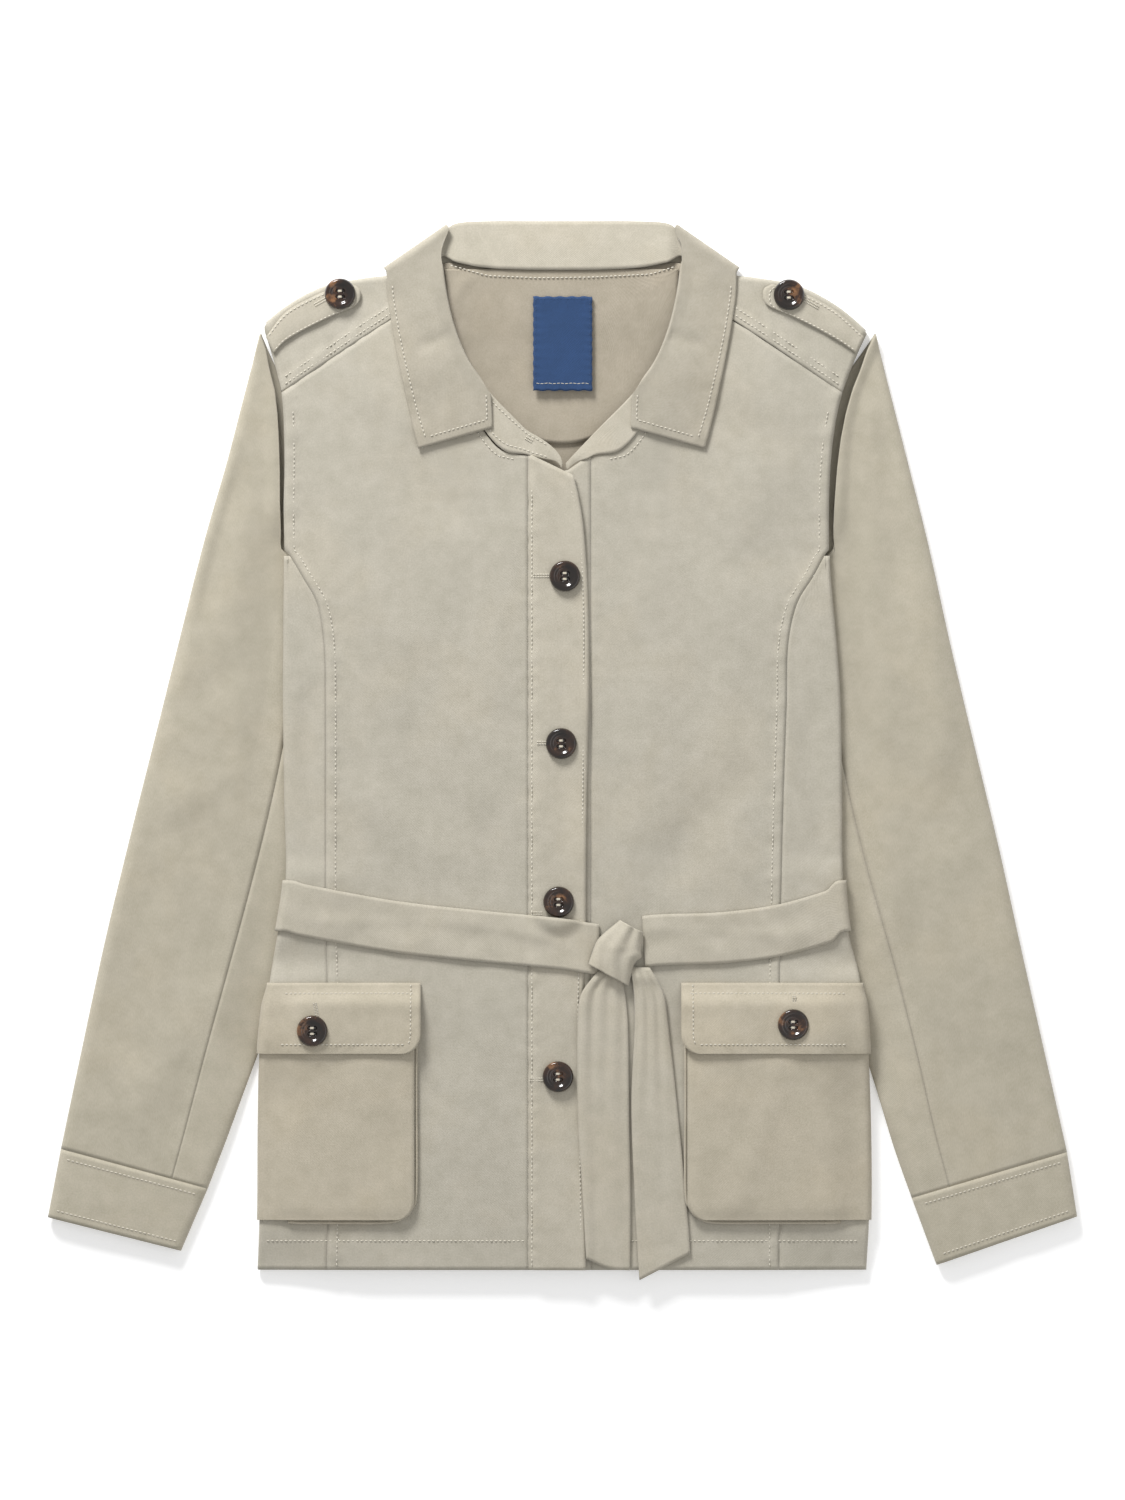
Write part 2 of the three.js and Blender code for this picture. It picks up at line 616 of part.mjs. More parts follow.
// Point of a sleeve: s runs down the arm, t across it from the outer to the inner edge.
function sleevePoint(side, s, t, isFront) {
  const rows = sleeveRows[side];
  const outer = curve(rows.map((row) => row.outer), 40);
  const inner = curve(rows.map((row) => row.inner), 40);
  const head = isFront ? sleeveHead(side) : sleeveHeadBack(side);
  const end = [outer[outer.length - 1], inner[inner.length - 1]];
  const [x, y] = coons(head.map((p) => [p[0], p[1], 0]), end, outer, inner, t, s);
  const width = mix(150, 98, s);
  const fromEdge = Math.min(t, 1 - t) * width;
  const round = fromEdge < sleeveRound ? Math.sqrt(1 - Math.pow(1 - fromEdge / sleeveRound, 2)) : 1;
  const free = sleeveHeight - cloth;
  const full = mix(free, pressedHeight - cloth, pressAt(side, x, y));
  const base = tableMid + full * (isFront ? 0.5 + 0.5 * round : 0.5 - 0.5 * round);
  return [x, y, isFront ? headRise(side, x, y, base) : base];
}

// The upper sleeve covers the outer edge, the under sleeve the inner one, with a seam on each face.
function sleeves(side) {
  const seamFront = 0.76;
  const seamBack = 0.7;
  const nudge = 0.0016;
  const edgeSteps = [0, 0.006, 0.02, 0.04];
  const outward = [...edgeSteps, 0.14, 0.3, 0.46, 0.62];
  const upperFront = [...outward, seamFront - nudge].reverse().map((t) => [t, true]);
  const upperBack = [...edgeSteps, 0.2, 0.42, seamBack - nudge].slice(1).map((t) => [t, false]);
  const lowerFront = [seamFront + nudge, 0.86, 0.96, 0.98, 0.994, 1].map((t) => [t, true]);
  const lowerBack = [0.994, 0.98, 0.96, 0.84, seamBack + nudge].map((t) => [t, false]);
  const build = (line) => sleeveSteps.map((s) => line.map(([t, isFront]) => sleevePoint(side, s, t, isFront)));
  addPiece(`upper_sleeve_${side}`, clothWall(build([...upperFront, ...upperBack])), twill);
  addPiece(`under_sleeve_${side}`, clothWall(build([...lowerFront, ...lowerBack])), twill);
}

// Cuff: a flat band round the wrist, a little wider than the sleeve that runs into it.
function cuff(side) {
  const rows = sleeveRows[side];
  const { outer, inner } = rows[rows.length - 1];
  const { lowerOuter, lowerInner } = cuffCorners[side];
  const round = [0, 0.006, 0.02, 0.05, 0.35, 0.65, 0.95, 0.98, 0.994, 1];
  const ring = [...round.map((t) => [t, true]), ...round.slice(1, -1).reverse().map((t) => [t, false])];
  const grid = [0.006, 0.33, 0.67, 1].map((v) => ring.map(([t, isFront]) => {
    const a = alongLine([outer, inner], t);
    const b = alongLine([lowerOuter, lowerInner], t);
    const fromEdge = Math.min(t, 1 - t) * 98;
    const bend = fromEdge < sleeveRound ? Math.sqrt(1 - Math.pow(1 - fromEdge / sleeveRound, 2)) : 1;
    const z = tableMid + (sleeveHeight - cloth) * (isFront ? 0.5 + 0.5 * bend : 0.5 - 0.5 * bend);
    return [mix(a[0], b[0], v), mix(a[1], b[1], v), z];
  }));
  addPiece(`cuff_${side}`, ringWall(grid), twill);
}

// Closed band: the grid's columns go all the way round, with both ends open.
function ringWall(grid, thickness = cloth) {
  const rows = grid.length;
  const cols = grid[0].length;
  const positions = [];
  const at = (i, j) => new THREE.Vector3(...grid[i][(j + cols) % cols]);
  for (const side of [0.5, -0.5]) {
    for (let i = 0; i < rows; i += 1) {
      for (let j = 0; j < cols; j += 1) {
        const across = at(i, j + 1).sub(at(i, j - 1));
        const along = at(Math.min(rows - 1, i + 1), j).sub(at(Math.max(0, i - 1), j));
        const p = at(i, j).addScaledVector(across.cross(along).normalize(), side * thickness);
        positions.push(p.x, p.y, p.z);
      }
    }
  }
  const outer = (i, j) => i * cols + (j + cols) % cols;
  const inner = (i, j) => rows * cols + outer(i, j);
  const faces = [];
  const quad = (a, b, c, d) => faces.push(a, b, c, a, c, d);
  for (let j = 0; j < cols; j += 1) {
    for (let i = 0; i < rows - 1; i += 1) {
      quad(outer(i, j), outer(i, j + 1), outer(i + 1, j + 1), outer(i + 1, j));
      quad(inner(i, j), inner(i + 1, j), inner(i + 1, j + 1), inner(i, j + 1));
    }
    quad(inner(0, j), inner(0, j + 1), outer(0, j + 1), outer(0, j));
    quad(outer(rows - 1, j), outer(rows - 1, j + 1), inner(rows - 1, j + 1), inner(rows - 1, j));
  }
  return meshGeometry(positions, faces);
}

// Trims

// Height of what lies on the front at a signed x: the fronts with the placket on them.
function frontTop(x, y) {
  const side = x < 0 ? 'left' : 'right';
  return frontHeight(side, Math.abs(x), y) + placketStep(side, Math.abs(x), y);
}

// Facing inside the back neck, and the bare woven label on it.
function backFacing() {
  const grid = steps(4).map((v) => steps(10).map((u) => {
    const x = mix(-76, 76, u);
    const low = 199 + 74 * Math.pow(Math.abs(x) / 76, 2.2);
    const y = mix(low, Math.min(backTopAt(Math.abs(x)), 313) - 0.6, v);
    return [x, y, backHeight('left', Math.abs(x), y) + layer + 0.3];
  }));
  addPiece('back_neck_facing', clothWall(grid), twill);
  const label = steps(7).map((v) => steps(2).map((u) => {
    const y = mix(233.3, 294.4, v);
    return [mix(-18.5, 19.8, u), y, backHeight('left', 0, y) + 2 * layer + 0.6];
  }));
  addPiece('neck_label', clothWall(label, 1), wovenBlue);
}

// Stand of the collar, from the left front end round the neck to the right one.
function collarStand() {
  const half = collarRows.map(({ neck, roll }) => steps(2).map((u) => neck.map((value, k) => mix(value, roll[k], u))));
  const left = half.map((line) => line.map(([x, y, z]) => [-x, y, z]));
  left[0] = left[0].map(([x, y, z]) => [0.2, y + 0.5, z]);
  addPiece('collar_stand', clothWall([...left, ...half.reverse().slice(1)]), twillLight);
}

// Leaf of the collar: on top at the fronts, over the shoulder folds, and under the body at the back.
function collarLeaf() {
  const across = [0, 0.15, 0.3, 0.5, 0.75, 1];
  const diagonal = [leafRoll[leafRoll.length - 1], leafEdge[leafEdge.length - 1]];
  const length = Math.hypot(diagonal[1][0] - diagonal[0][0], diagonal[1][1] - diagonal[0][1]);
  const outward = [(diagonal[0][1] - diagonal[1][1]) / length, (diagonal[1][0] - diagonal[0][0]) / length];
  const highZ = tableMid + 2 * leafFoldRadius;
  const rows = steps(7).map((t) => across.map((s) => {
    const [x, y] = coons(leafFront, diagonal, leafRoll, leafEdge, s, t);
    const onFront = frontHeight('right', x, Math.min(y, shoulderAt(Math.max(84, x)) - shoulderFoldRadius));
    const stand = alongLine(collarRows.slice(2, 8).map((row) => row.roll), t)[2];
    const over = mix(Math.max(stand, onFront), onFront, s) + layer + 0.25;
    return [x, y, mix(over, highZ + 0.9, ease((t - 0.7) / 0.3))];
  }));
  for (const v of steps(foldSteps).slice(1)) {
    const angle = v * Math.PI;
    rows.push(across.map((s) => {
      const [x, y] = alongLine(diagonal, s);
      const reach = leafFoldRadius * Math.sin(angle);
      const z = mix(tableMid, highZ + 0.9, 0.5 + 0.5 * Math.cos(angle));
      return [x + outward[0] * reach, y + outward[1] * reach, z];
    }));
  }
  for (const t of steps(4).slice(1)) {
    rows.push(across.map((s) => {
      const [x, y] = coons(diagonal, [leafBackRoll[4], leafBackEdge[4]], leafBackRoll, leafBackEdge, s, t);
      return [x, y, tableMid];
    }));
  }
  const mirrored = rows.map((line) => line.map(([x, y, z]) => [-x, y, z]));
  addPiece('collar_leaf', clothWall([...mirrored, ...rows.reverse().slice(1)]), twillLight);
}

// Epaulette: a strap on the yoke from the armhole seam to its button.
function epaulette(side) {
  const outer = edgeAt(side, 262) - 0.8;
  const lower = [[outer - 2, 257.5], [178, 266.5], [155, 279], [137, 287]];
  const upper = [[outer + 3, 268], [180, 283.5], [165, 292.6], [150, 299], [136.5, 302.4]];
  const tip = [[137, 287], [131.5, 291], [131, 299], [136.5, 302.4]];
  const end = [[outer - 2, 257.5], [outer + 3, 268]];
  const grid = steps(5).map((v) => steps(9).map((u) => {
    const [x, y] = coons(lower, upper, end, tip, u, v);
    return [signOf[side] * x, y, frontHeight(side, x, y) + layer + 0.25];
  }));
  addPiece(`epaulette_${side}`, clothWall(grid), twillLight);
}

// Pockets

function pocketInnerAt(side) {
  return side === 'left' ? pocketInner : pocketInnerRight;
}

// How far a pocket's face stands off the body, at w from the middle line.
function pocketStand(side, w, y) {
  const edge = edgeAt(side, y) - foldRadius;
  return mix(layer, layer + pocketRise, ease((edge - w) / 26));
}

// Columns of a piece that runs from an inner edge round the side fold to its end on the underside.
function wrapColumns(side, y, inner, count) {
  const r = foldRadius;
  const foldStart = edgeAt(side, y) - r;
  const flat = steps(count).map((u) => mix(inner, foldStart, u));
  const fold = steps(foldSteps).slice(1).map((u) => foldStart + u * Math.PI * r);
  const under = steps(2).slice(1).map((u) => foldStart + Math.PI * r + u * (pocketWrap - 6));
  return [...flat, ...fold, ...under];
}

function pocket(side) {
  const inner = pocketInnerAt(side);
  const roundIn = (y, low) => {
    const up = Math.max(0, cornerRound - (y - low));
    return cornerRound - Math.sqrt(cornerRound * cornerRound - up * up);
  };
  const bagYs = [pocketBottomY, pocketBottomY + 1.5, pocketBottomY + 5, pocketBottomY + 12, -260, -215, -197, -185, -173];
  const bag = bagYs.map((y) => wrapColumns(side, y, inner + roundIn(y, pocketBottomY), 4)
    .map((w) => bodyPoint(side, w, y, pocketStand(side, w, y))));
  addPiece(`pocket_bag_${side}`, clothWall(bag), twill);
  const flapInner = inner - 4;
  const flapYs = [flapBottomY, flapBottomY + 1.5, flapBottomY + 5, -185, -173, -161, flapTopY];
  const flap = flapYs.map((y) => wrapColumns(side, y, flapInner + roundIn(y, flapBottomY), 4).map((w) => {
    const hang = ease((flapTopY - 1 - y) / 14);
    const stand = mix(layer, pocketStand(side, w, y) + layer + 0.1, hang);
    return bodyPoint(side, w, y, stand);
  }));
  addPiece(`pocket_flap_${side}`, clothWall(flap), twillLight);
  const along = [
    [inner + 1, -175], [inner + 1, -225], [inner + 1, -285], [inner + 4, -296], [inner + 10, -302.5],
    [inner + 22, pocketBottomY + 0.5], [inner + 50, pocketBottomY + 0.5], [edgeAt(side, -300) - 18, pocketBottomY + 0.5],
  ];
  const gusset = along.map(([x, y], i) => {
    const next = along[Math.min(along.length - 1, i + 1)];
    const before = along[Math.max(0, i - 1)];
    const run = Math.hypot(next[0] - before[0], next[1] - before[1]);
    const out = [(next[1] - before[1]) / run, -(next[0] - before[0]) / run];
    return [[-3.6, layer], [-0.4, layer], [1.6, 2.4], [2.6, 3.6]].map(([shift, d]) => {
      const w = x + shift * out[0];
      const py = y + shift * out[1];
      const limit = pocketStand(side, w, py) - layer;
      return bodyPoint(side, w, py, Math.max(layer, Math.min(d, limit)));
    });
  });
  addPiece(`pocket_gusset_${side}`, clothWall(gusset), twill);
}

// Belt

// Point of the belt: signed is the distance along the body from the middle line, v across the band.
function beltPoint(signed, v) {
  const side = signed < 0 ? 'left' : 'right';
  const w = Math.abs(signed);
  const foldStart = edgeAt(side, beltSideY) - foldRadius;
  const mid = w < foldStart ? column(beltRows, 'x', 'y', signed) : beltSideY;
  const y = mid + beltWidth * (v - 0.5);
  const nearButton = Math.hypot(signed - buttonPlaces[2].x, y - buttonPlaces[2].y + 4);
  const lift = 3.6 * ease((19 - nearButton) / 9);
  const own = edgeAt(side, y) - foldRadius;
  const along = w < foldStart ? w * own / foldStart : w - foldStart + own;
  return bodyPoint(side, along, y, beltAway + (w < foldStart ? lift : 0), true);
}

function belt() {
  const foldAt = (side) => edgeAt(side, beltSideY) - foldRadius;
  const turn = Math.PI * foldRadius;
  const half = (side, from, count) => {
    const start = foldAt(side);
    return [...steps(count).map((u) => mix(from, start, u)), ...steps(foldSteps).slice(1).map((u) => start + u * turn),
      ...beltUnderXs.map((x) => start + turn + start - x)];
  };
  const right = half('right', 56, 6);
  const left = half('left', 0, 10).map((w) => -w);
  const ends = [24, 19, 14, 9, 4];
  const list = [...right, ...left.slice(0, -1).reverse(), ...ends.slice().reverse()];
  const grid = list.map((signed) => [0, 0.4, 0.75, 1].map((v) => beltPoint(signed, v)));
  addPiece('belt_band', clothWall(grid), twillLight);
}

function beltTails() {
  const tips = { left: [[15.8, -330], [30, -336.4], [44.3, -337.6]], right: [[50.4, -344], [62, -338], [83.4, -326.5]] };
  for (const side of ['left', 'right']) {
    const rows = tailRows[side];
    const grid = steps(10).map((v) => {
      const top = rows[0].y;
      const low = rows[rows.length - 1].y;
      const y = mix(top, low, v);
      return steps(6).map((u) => {
        const x = mix(column(rows, 'y', 'from', y), column(rows, 'y', 'to', y), u);
        const py = y + (alongLine(tips[side], u)[1] - low) * ease((v - 0.7) / 0.3);
        return [x, py, frontTop(x, Math.max(py, hemY)) + layer + 0.3];
      });
    });
    addPiece(`belt_tail_${side}`, clothWall(grid), twillLight);
  }
}

// Knot: a short wrap over the belt, arched across, with its ends open.
function beltKnot() {
  const leftSide = [[17.9, -139.1], [21.6, -128.2], [25.5, -121.5], [38.2, -110.7]];
  const rightSide = [[42.8, -152.8], [46.5, -138.9], [51, -134.2], [50.8, -130.3], [52, -118]];
  const low = [leftSide[0], rightSide[0]];
  const high = [leftSide[3], rightSide[4]];
  const grid = steps(6).map((v) => steps(8).map((u) => {
    const [x, y] = coons(low, high, leftSide, rightSide, u, v);
    const arch = Math.pow(1 - Math.pow(Math.abs(2 * u - 1), 3), 0.6);
    return [x, y, frontTop(x, y) + beltAway + 1.8 + 5.6 * arch * (0.8 + 0.2 * Math.sin(Math.PI * v))];
  }));
  addPiece('belt_knot', clothWall(grid, 1.6), twillLight);
}

// Buttons

// Four-hole button: a turned disc with a rim and a dish, cut by four holes.
function buttonSolid() {
  const r = buttonRadius;
  const h = buttonThickness;
  const outline = [[0, 0], [r - 2.2, 0], [r - 0.4, h * 0.35], [r, h * 0.65], [r - 1.4, h], [r - 3.6, h - 1.2],
    [0, h - 1.3]];
  const disc = new THREE.LatheGeometry(outline.map(([x, y]) => new THREE.Vector2(x, y)), 12).rotateX(Math.PI / 2);
  let solid = toSolid(disc);
  for (let i = 0; i < 4; i += 1) {
    const angle = Math.PI / 4 + i * Math.PI / 2;
    const hole = new THREE.CylinderGeometry(holeRadius, holeRadius, 4 * h, 4).rotateX(Math.PI / 2);
    hole.translate(2 * Math.cos(angle), 2 * Math.sin(angle), 0);
    solid = solid.subtract(toSolid(hole));
  }
  return fromSolid(solid);
}

function toSolid(geometry) {
  const bare = geometry.clone();
  bare.deleteAttribute('normal');
  bare.deleteAttribute('uv');
  const merged = mergeVertices(bare, 1e-4);
  return new wasm.Manifold(new wasm.Mesh({
    numProp: 3,
    vertProperties: new Float32Array(merged.attributes.position.array),
    triVerts: new Uint32Array(merged.index.array),
  }));
}

function fromSolid(solid) {
  const { vertProperties, triVerts } = solid.getMesh();
  return meshGeometry(Array.from(vertProperties), Array.from(triVerts));
}

function buttons() {
  const disc = buttonSolid();
  const restZ = {
    front: (x, y) => frontTop(x, y),
    epaulette: (x, y) => frontHeight(x < 0 ? 'left' : 'right', Math.abs(x), y) + layer + 0.25,
    pocket: (x, y) => {
      const side = x < 0 ? 'left' : 'right';
      return frontHeight(side, Math.abs(x), y) + pocketStand(side, Math.abs(x), y) + layer + 0.1;
    },
  };
  for (const { name, x, y } of buttonPlaces) {
    const kind = name.split('_')[0];
    const height = restZ[kind];
    const reach = buttonRadius - 3;
    const tiltX = Math.atan((height(x, y + reach) - height(x, y - reach)) / (2 * reach));
    const tiltY = -Math.atan((height(x + reach, y) - height(x - reach, y)) / (2 * reach));
    const mesh = addPiece(`button_${name}`, disc, horn);
    mesh.rotation.set(tiltX, tiltY, 0);
    mesh.position.set(x, y, height(x, y) + cloth / 2 + 0.45);
  }
}

for (const side of ['left', 'right']) {
  front(side);
  sidePanel(side);
  yoke(side);
  sleeves(side);
  cuff(side);
  epaulette(side);
  pocket(side);
}
backPanel();
plackets();
backFacing();
collarStand();
collarLeaf();
belt();
beltTails();
beltKnot();
buttons();

// The origin is the middle of the underside.
const bounds = new THREE.Box3().setFromObject(jacket);
const middle = bounds.getCenter(new THREE.Vector3());
jacket.position.set(-middle.x, -middle.y, -bounds.min.z);

export default jacket;
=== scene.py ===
# Belted safari jacket in cotton twill, laid flat: cloth shells, stitches, buttons and materials.
import math

import bpy
import numpy as np
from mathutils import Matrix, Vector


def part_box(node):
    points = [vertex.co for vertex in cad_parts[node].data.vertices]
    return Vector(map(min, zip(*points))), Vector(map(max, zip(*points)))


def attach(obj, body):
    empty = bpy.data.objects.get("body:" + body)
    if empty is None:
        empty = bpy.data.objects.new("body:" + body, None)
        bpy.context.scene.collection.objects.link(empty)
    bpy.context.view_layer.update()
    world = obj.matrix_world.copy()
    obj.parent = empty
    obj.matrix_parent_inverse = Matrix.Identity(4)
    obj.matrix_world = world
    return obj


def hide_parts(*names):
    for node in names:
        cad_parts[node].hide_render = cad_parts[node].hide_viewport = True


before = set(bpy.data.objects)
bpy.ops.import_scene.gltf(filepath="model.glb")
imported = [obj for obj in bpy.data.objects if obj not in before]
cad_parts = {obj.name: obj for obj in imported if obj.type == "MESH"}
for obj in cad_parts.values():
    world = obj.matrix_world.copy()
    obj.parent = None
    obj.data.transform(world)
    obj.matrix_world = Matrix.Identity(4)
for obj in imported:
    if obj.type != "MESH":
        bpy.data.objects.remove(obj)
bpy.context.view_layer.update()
print("frame loaded")

# Shared sizes, in millimetres
mm = 0.001
cloth = 1.2
seamGap = 0.04                      # the visible pieces all but meet at their seams
layer = cloth + 0.45
tableMid = cloth / 2
originShift = np.array([-0.5, 0.2, 0.0])

body = {
    "hemY": -337.5, "underarmY": 128.0, "chestHeight": 9.6, "foldRadius": 2.2, "underWrap": 62.0,
    "underarmTop": 104.0, "liftRun": 46.0, "sleeveLeavesY": -182.0, "shoulderFold": 2.4,
    "shoulderHeight": 5.9, "armholeHeight": 7.8, "placketSeamX": 21.8, "underPlacketX": 19.0,
    "yokeNeckX": 86.0, "headStrip": 7.0,
}
sleeveCut = {"height": 8.2, "pressed": 4.4, "round": 7.0, "seamFront": 0.76, "seamBack": 0.7,
             "tuck": 1.6, "tuckedAbove": 250, "backHeadY": 268}
onSleeve = sleeveCut["pressed"] + 0.4 + cloth / 2
signOf = {"left": -1.0, "right": 1.0}

# Half widths of the flat body: height, left edge, right edge, left princess seam, right princess seam
bodyRows = np.array([
    [-337.5, 197.0, 197.3, 152.4, 141.1], [-301, 195.6, 199.0, 151.8, 141.1],
    [-241, 195.2, 198.6, 151.8, 141.2], [-193, 193.8, 196.6, 151.8, 141.4],
    [-148, 188.6, 192.8, 151.9, 141.4], [-118, 183.6, 185.4, 153.0, 141.8],
    [-84, 178.6, 182.0, 153.1, 142.5], [-30, 179.6, 181.4, 153.1, 143.8],
    [32, 180.4, 180.4, 153.1, 145.9], [68, 180.2, 178.0, 153.9, 146.8],
    [95, 180.0, 175.6, 158.6, 152.6], [113, 179.8, 174.0, 168.6, 163.4],
    [128, 179.8, 173.4, 177.6, 171.4]])
# Front armhole seam: height, left, right
armholeRows = np.array([[128, 179.8, 173.4], [158, 180.4, 173.4], [181, 179.9, 174.2], [207, 180.2, 176.8],
                        [232, 181.9, 182.2], [258, 188.6, 192.4], [272, 193.0, 199.0]])
# Shoulder fold: distance from the middle, height
shoulderRows = np.array([[84, 321], [92, 315.5], [98, 312], [114, 307.5], [124, 306.5], [150, 302],
                         [165, 296], [180, 287], [190, 279], [197, 272.5]])
# Sleeves down the arm: outer x, outer y, inner x, inner y
sleeveRows = {
    "left": np.array([
        [-195.4, 270, -118, 104], [-205.5, 231, -121, 72], [-217.2, 186, -126, 36], [-232.4, 133, -134, -4],
        [-248.2, 70, -147, -52], [-264.4, 5, -164, -104], [-280.7, -60, -183, -157],
        [-296.3, -125, -203, -211], [-311.5, -196, -218, -252], [-324.7, -259, -230.4, -284.5]]),
    "right": np.array([
        [203.4, 270, 116, 104], [212.0, 235, 119, 72], [223.4, 190, 124, 36], [237.6, 133, 133, -4],
        [252.0, 68, 147, -52], [267.4, 3, 164, -104], [283.0, -62, 184, -157], [297.6, -128, 202, -211],
        [313.4, -198, 216, -257], [327.6, -261, 227.8, -290.5]]),
}
neckFront = np.array([[21.8, 191], [32, 192.5], [42, 196.5], [54.5, 213], [67, 238], [77, 267], [83, 296]])
yokeSeam = np.array([[83, 296], [97, 289], [114, 277.5], [131, 266.5], [148, 255], [165, 243.5], [182, 232]])
backArmhole = np.array([[118, 104], [131, 113], [144, 127], [155, 146], [162, 170], [167, 200],
                        [174, 228], [182, 246]])
backTopRows = np.array([[0, 313], [27, 313.2], [55, 314.6], [73, 316.6], [86, 314]])
placketEdgeRows = np.array([[-337.5, 15.6], [-240, 14.6], [-160, 13.6], [-110, 15.4], [-30, 16.6], [60, 17.2],
                            [111, 16.6], [142, 14.6], [158, 12.0], [172, 8.2]])
creaseDepth = 1.8
# Creases: x, y, x, y of the ends, depth (minus is a trough), half width
creases = np.array([
    [-120, 215, -60, 150, -0.9, 16], [-150, 150, -95, 60, 0.7, 20], [60, 190, 120, 110, -0.8, 18],
    [140, 190, 95, 60, 0.8, 22], [-130, -20, -60, -80, 0.8, 16], [120, -10, 70, -85, -0.9, 15],
    [-40, 150, -35, 30, 0.6, 14], [60, 60, 66, -60, 0.7, 18], [-100, 30, -70, -95, -0.8, 13],
    [105, 60, 118, -90, 0.7, 12], [-60, -150, -55, -320, 0.6, 20], [-120, -260, -60, -180, -0.5, 18],
    [-160, 40, -165, -60, -0.6, 8], [165, 30, 168, -70, -0.6, 8], [-70, 250, -110, 190, 0.6, 14],
    [85, 240, 130, 200, -0.6, 14], [-45, -35, -38, -100, -0.7, 9], [38, -40, 52, -105, 0.7, 9],
    [100, -160, 118, -300, 0.5, 16], [-12, 60, -8, -80, 0.35, 8], [-14, -130, -10, -300, -0.35, 8]])


# Formula: three times t squared less twice t cubed, with t held between 0 and 1.
def ease(t):
    c = np.clip(t, 0, 1)
    return c * c * (3 - 2 * c)


# Formula: a plus the share t of the way to b.
def mix(a, b, t):
    return a + (b - a) * t


# Formula: a cubic between the rows of a table, with slopes taken from each row's neighbours.
def column(rows, place, key, at):
    x, y = rows[:, place].astype(float), rows[:, key].astype(float)
    if x[0] > x[-1]:
        x, y = x[::-1], y[::-1]
    slope = np.gradient(y, x)
    slope[1:-1] = (y[2:] - y[:-2]) / (x[2:] - x[:-2])
    at = np.asarray(at, float)
    i = np.clip(np.searchsorted(x, at) - 1, 0, len(x) - 2)
    span = x[i + 1] - x[i]
    t = np.clip((at - x[i]) / span, 0, 1)
    bend = slope[i] * span * t * (1 - t) ** 2 - slope[i + 1] * span * t * t * (1 - t)
    return mix(y[i], y[i + 1], t * t * (3 - 2 * t)) + bend


# Formula: the point at a share of a bent line's length.
def alongLine(points, share):
    points = np.asarray(points, float)
    length = np.r_[0, np.cumsum(np.hypot(*np.diff(points[:, :2], axis=0).T))]
    target = np.asarray(share) * length[-1]
    return np.stack([np.interp(target, length, points[:, k]) for k in range(points.shape[1])], -1)


# Formula: a Catmull-Rom curve through the points, with equal steps of its parameter.
def smoothLine(points, pieces=60):
    p = np.asarray(points, float)
    p = np.vstack([2 * p[0] - p[1], p, 2 * p[-1] - p[-2]])
    at = np.linspace(0, len(p) - 3 - 1e-9, pieces)
    i = at.astype(int)
    t = (at - i)[:, None]
    a, b, c, d = p[i], p[i + 1], p[i + 2], p[i + 3]
    return 0.5 * (2 * b + (c - a) * t + (2 * a - 5 * b + 4 * c - d) * t**2 + (3 * b - a - 3 * c + d) * t**3)


# Formula: the sum of the two ruled patches between four border lines, less the bilinear one.
def coons(bottom, top, start, end, u, v):
    b, t = alongLine(bottom, u), alongLine(top, u)
    s, e = alongLine(start, v), alongLine(end, v)
    u, v = np.asarray(u)[..., None], np.asarray(v)[..., None]
    c = [np.asarray(line[i], float) for line in (bottom, top) for i in (0, -1)]
    return mix(b, t, v) + mix(s, e, u) - mix(mix(c[0], c[1], u), mix(c[2], c[3], u), v)


# Formula: each crease is its depth times a bell across it, fading at both ends.
def creaseField(table, x, y):
    total = np.zeros(np.broadcast(x, y).shape)
    for x0, y0, x1, y1, depth, width in table:
        dx, dy = x1 - x0, y1 - y0
        run = math.hypot(dx, dy)
        along = ((x - x0) * dx + (y - y0) * dy) / run
        wander = 5 * np.sin(along / 31 + depth * 4)
        off = ((x - x0) * dy - (y - y0) * dx) / run + wander
        fade = ease((along + 14) / 34) * ease((run + 14 - along) / 34)
        total += creaseDepth * depth * np.exp(-(off / width) ** 2) * fade
    return total


# Formula: a few crossed sine waves of long and middling length, for cloth that isn't ironed flat.
def ripple(x, y, size=1.0):
    a = np.sin(x / 23 + 1.3 * np.sin(y / 41)) * np.sin(y / 37 + 0.8 * np.sin(x / 29))
    b = np.sin(x / 9.1 + y / 17 + 2 * np.sin(y / 33)) * np.sin(y / 13.7 - x / 31)
    return size * (0.42 * a + 0.16 * b)


# Formula: quick waves beside a line of stitches, dying away from it.
def pucker(distance, along, size=0.36):
    wave = np.sin(along / 1.9 + 1.7 * np.sin(along / 7.3))
    wave = wave + 0.6 * np.sin(along / 4.3 + 2 * np.sin(along / 19))
    return size * wave * np.exp(-(distance / 3.6) ** 2)


# Formula: the body's half width below the underarm, the armhole's table above it.
def edgeAt(side, y):
    k = 1 if side == "left" else 2
    low = column(bodyRows, 0, k, np.minimum(y, body["underarmY"]))
    return np.where(np.asarray(y) > body["underarmY"], column(armholeRows, 0, k, y), low)


# Formula: the table's distance of the princess seam from the middle.
def princessAt(side, y):
    return column(bodyRows, 0, 3 if side == "left" else 4, y)


# Formula: the table's height of the shoulder fold.
def shoulderAt(x):
    return column(shoulderRows, 0, 1, x)


# Formula: the neck's table, then a straight line out to the armhole's corner.
def backTopAt(x):
    x = np.asarray(x, float)
    corner = backArmhole[-1]
    return np.where(x < 86, column(backTopRows, 0, 1, x), mix(314, corner[1], (x - 86) / (corner[0] - 86)))


# Formula: the table's place of the over placket's free edge.
def placketEdgeAt(y):
    return column(placketEdgeRows, 0, 1, y)


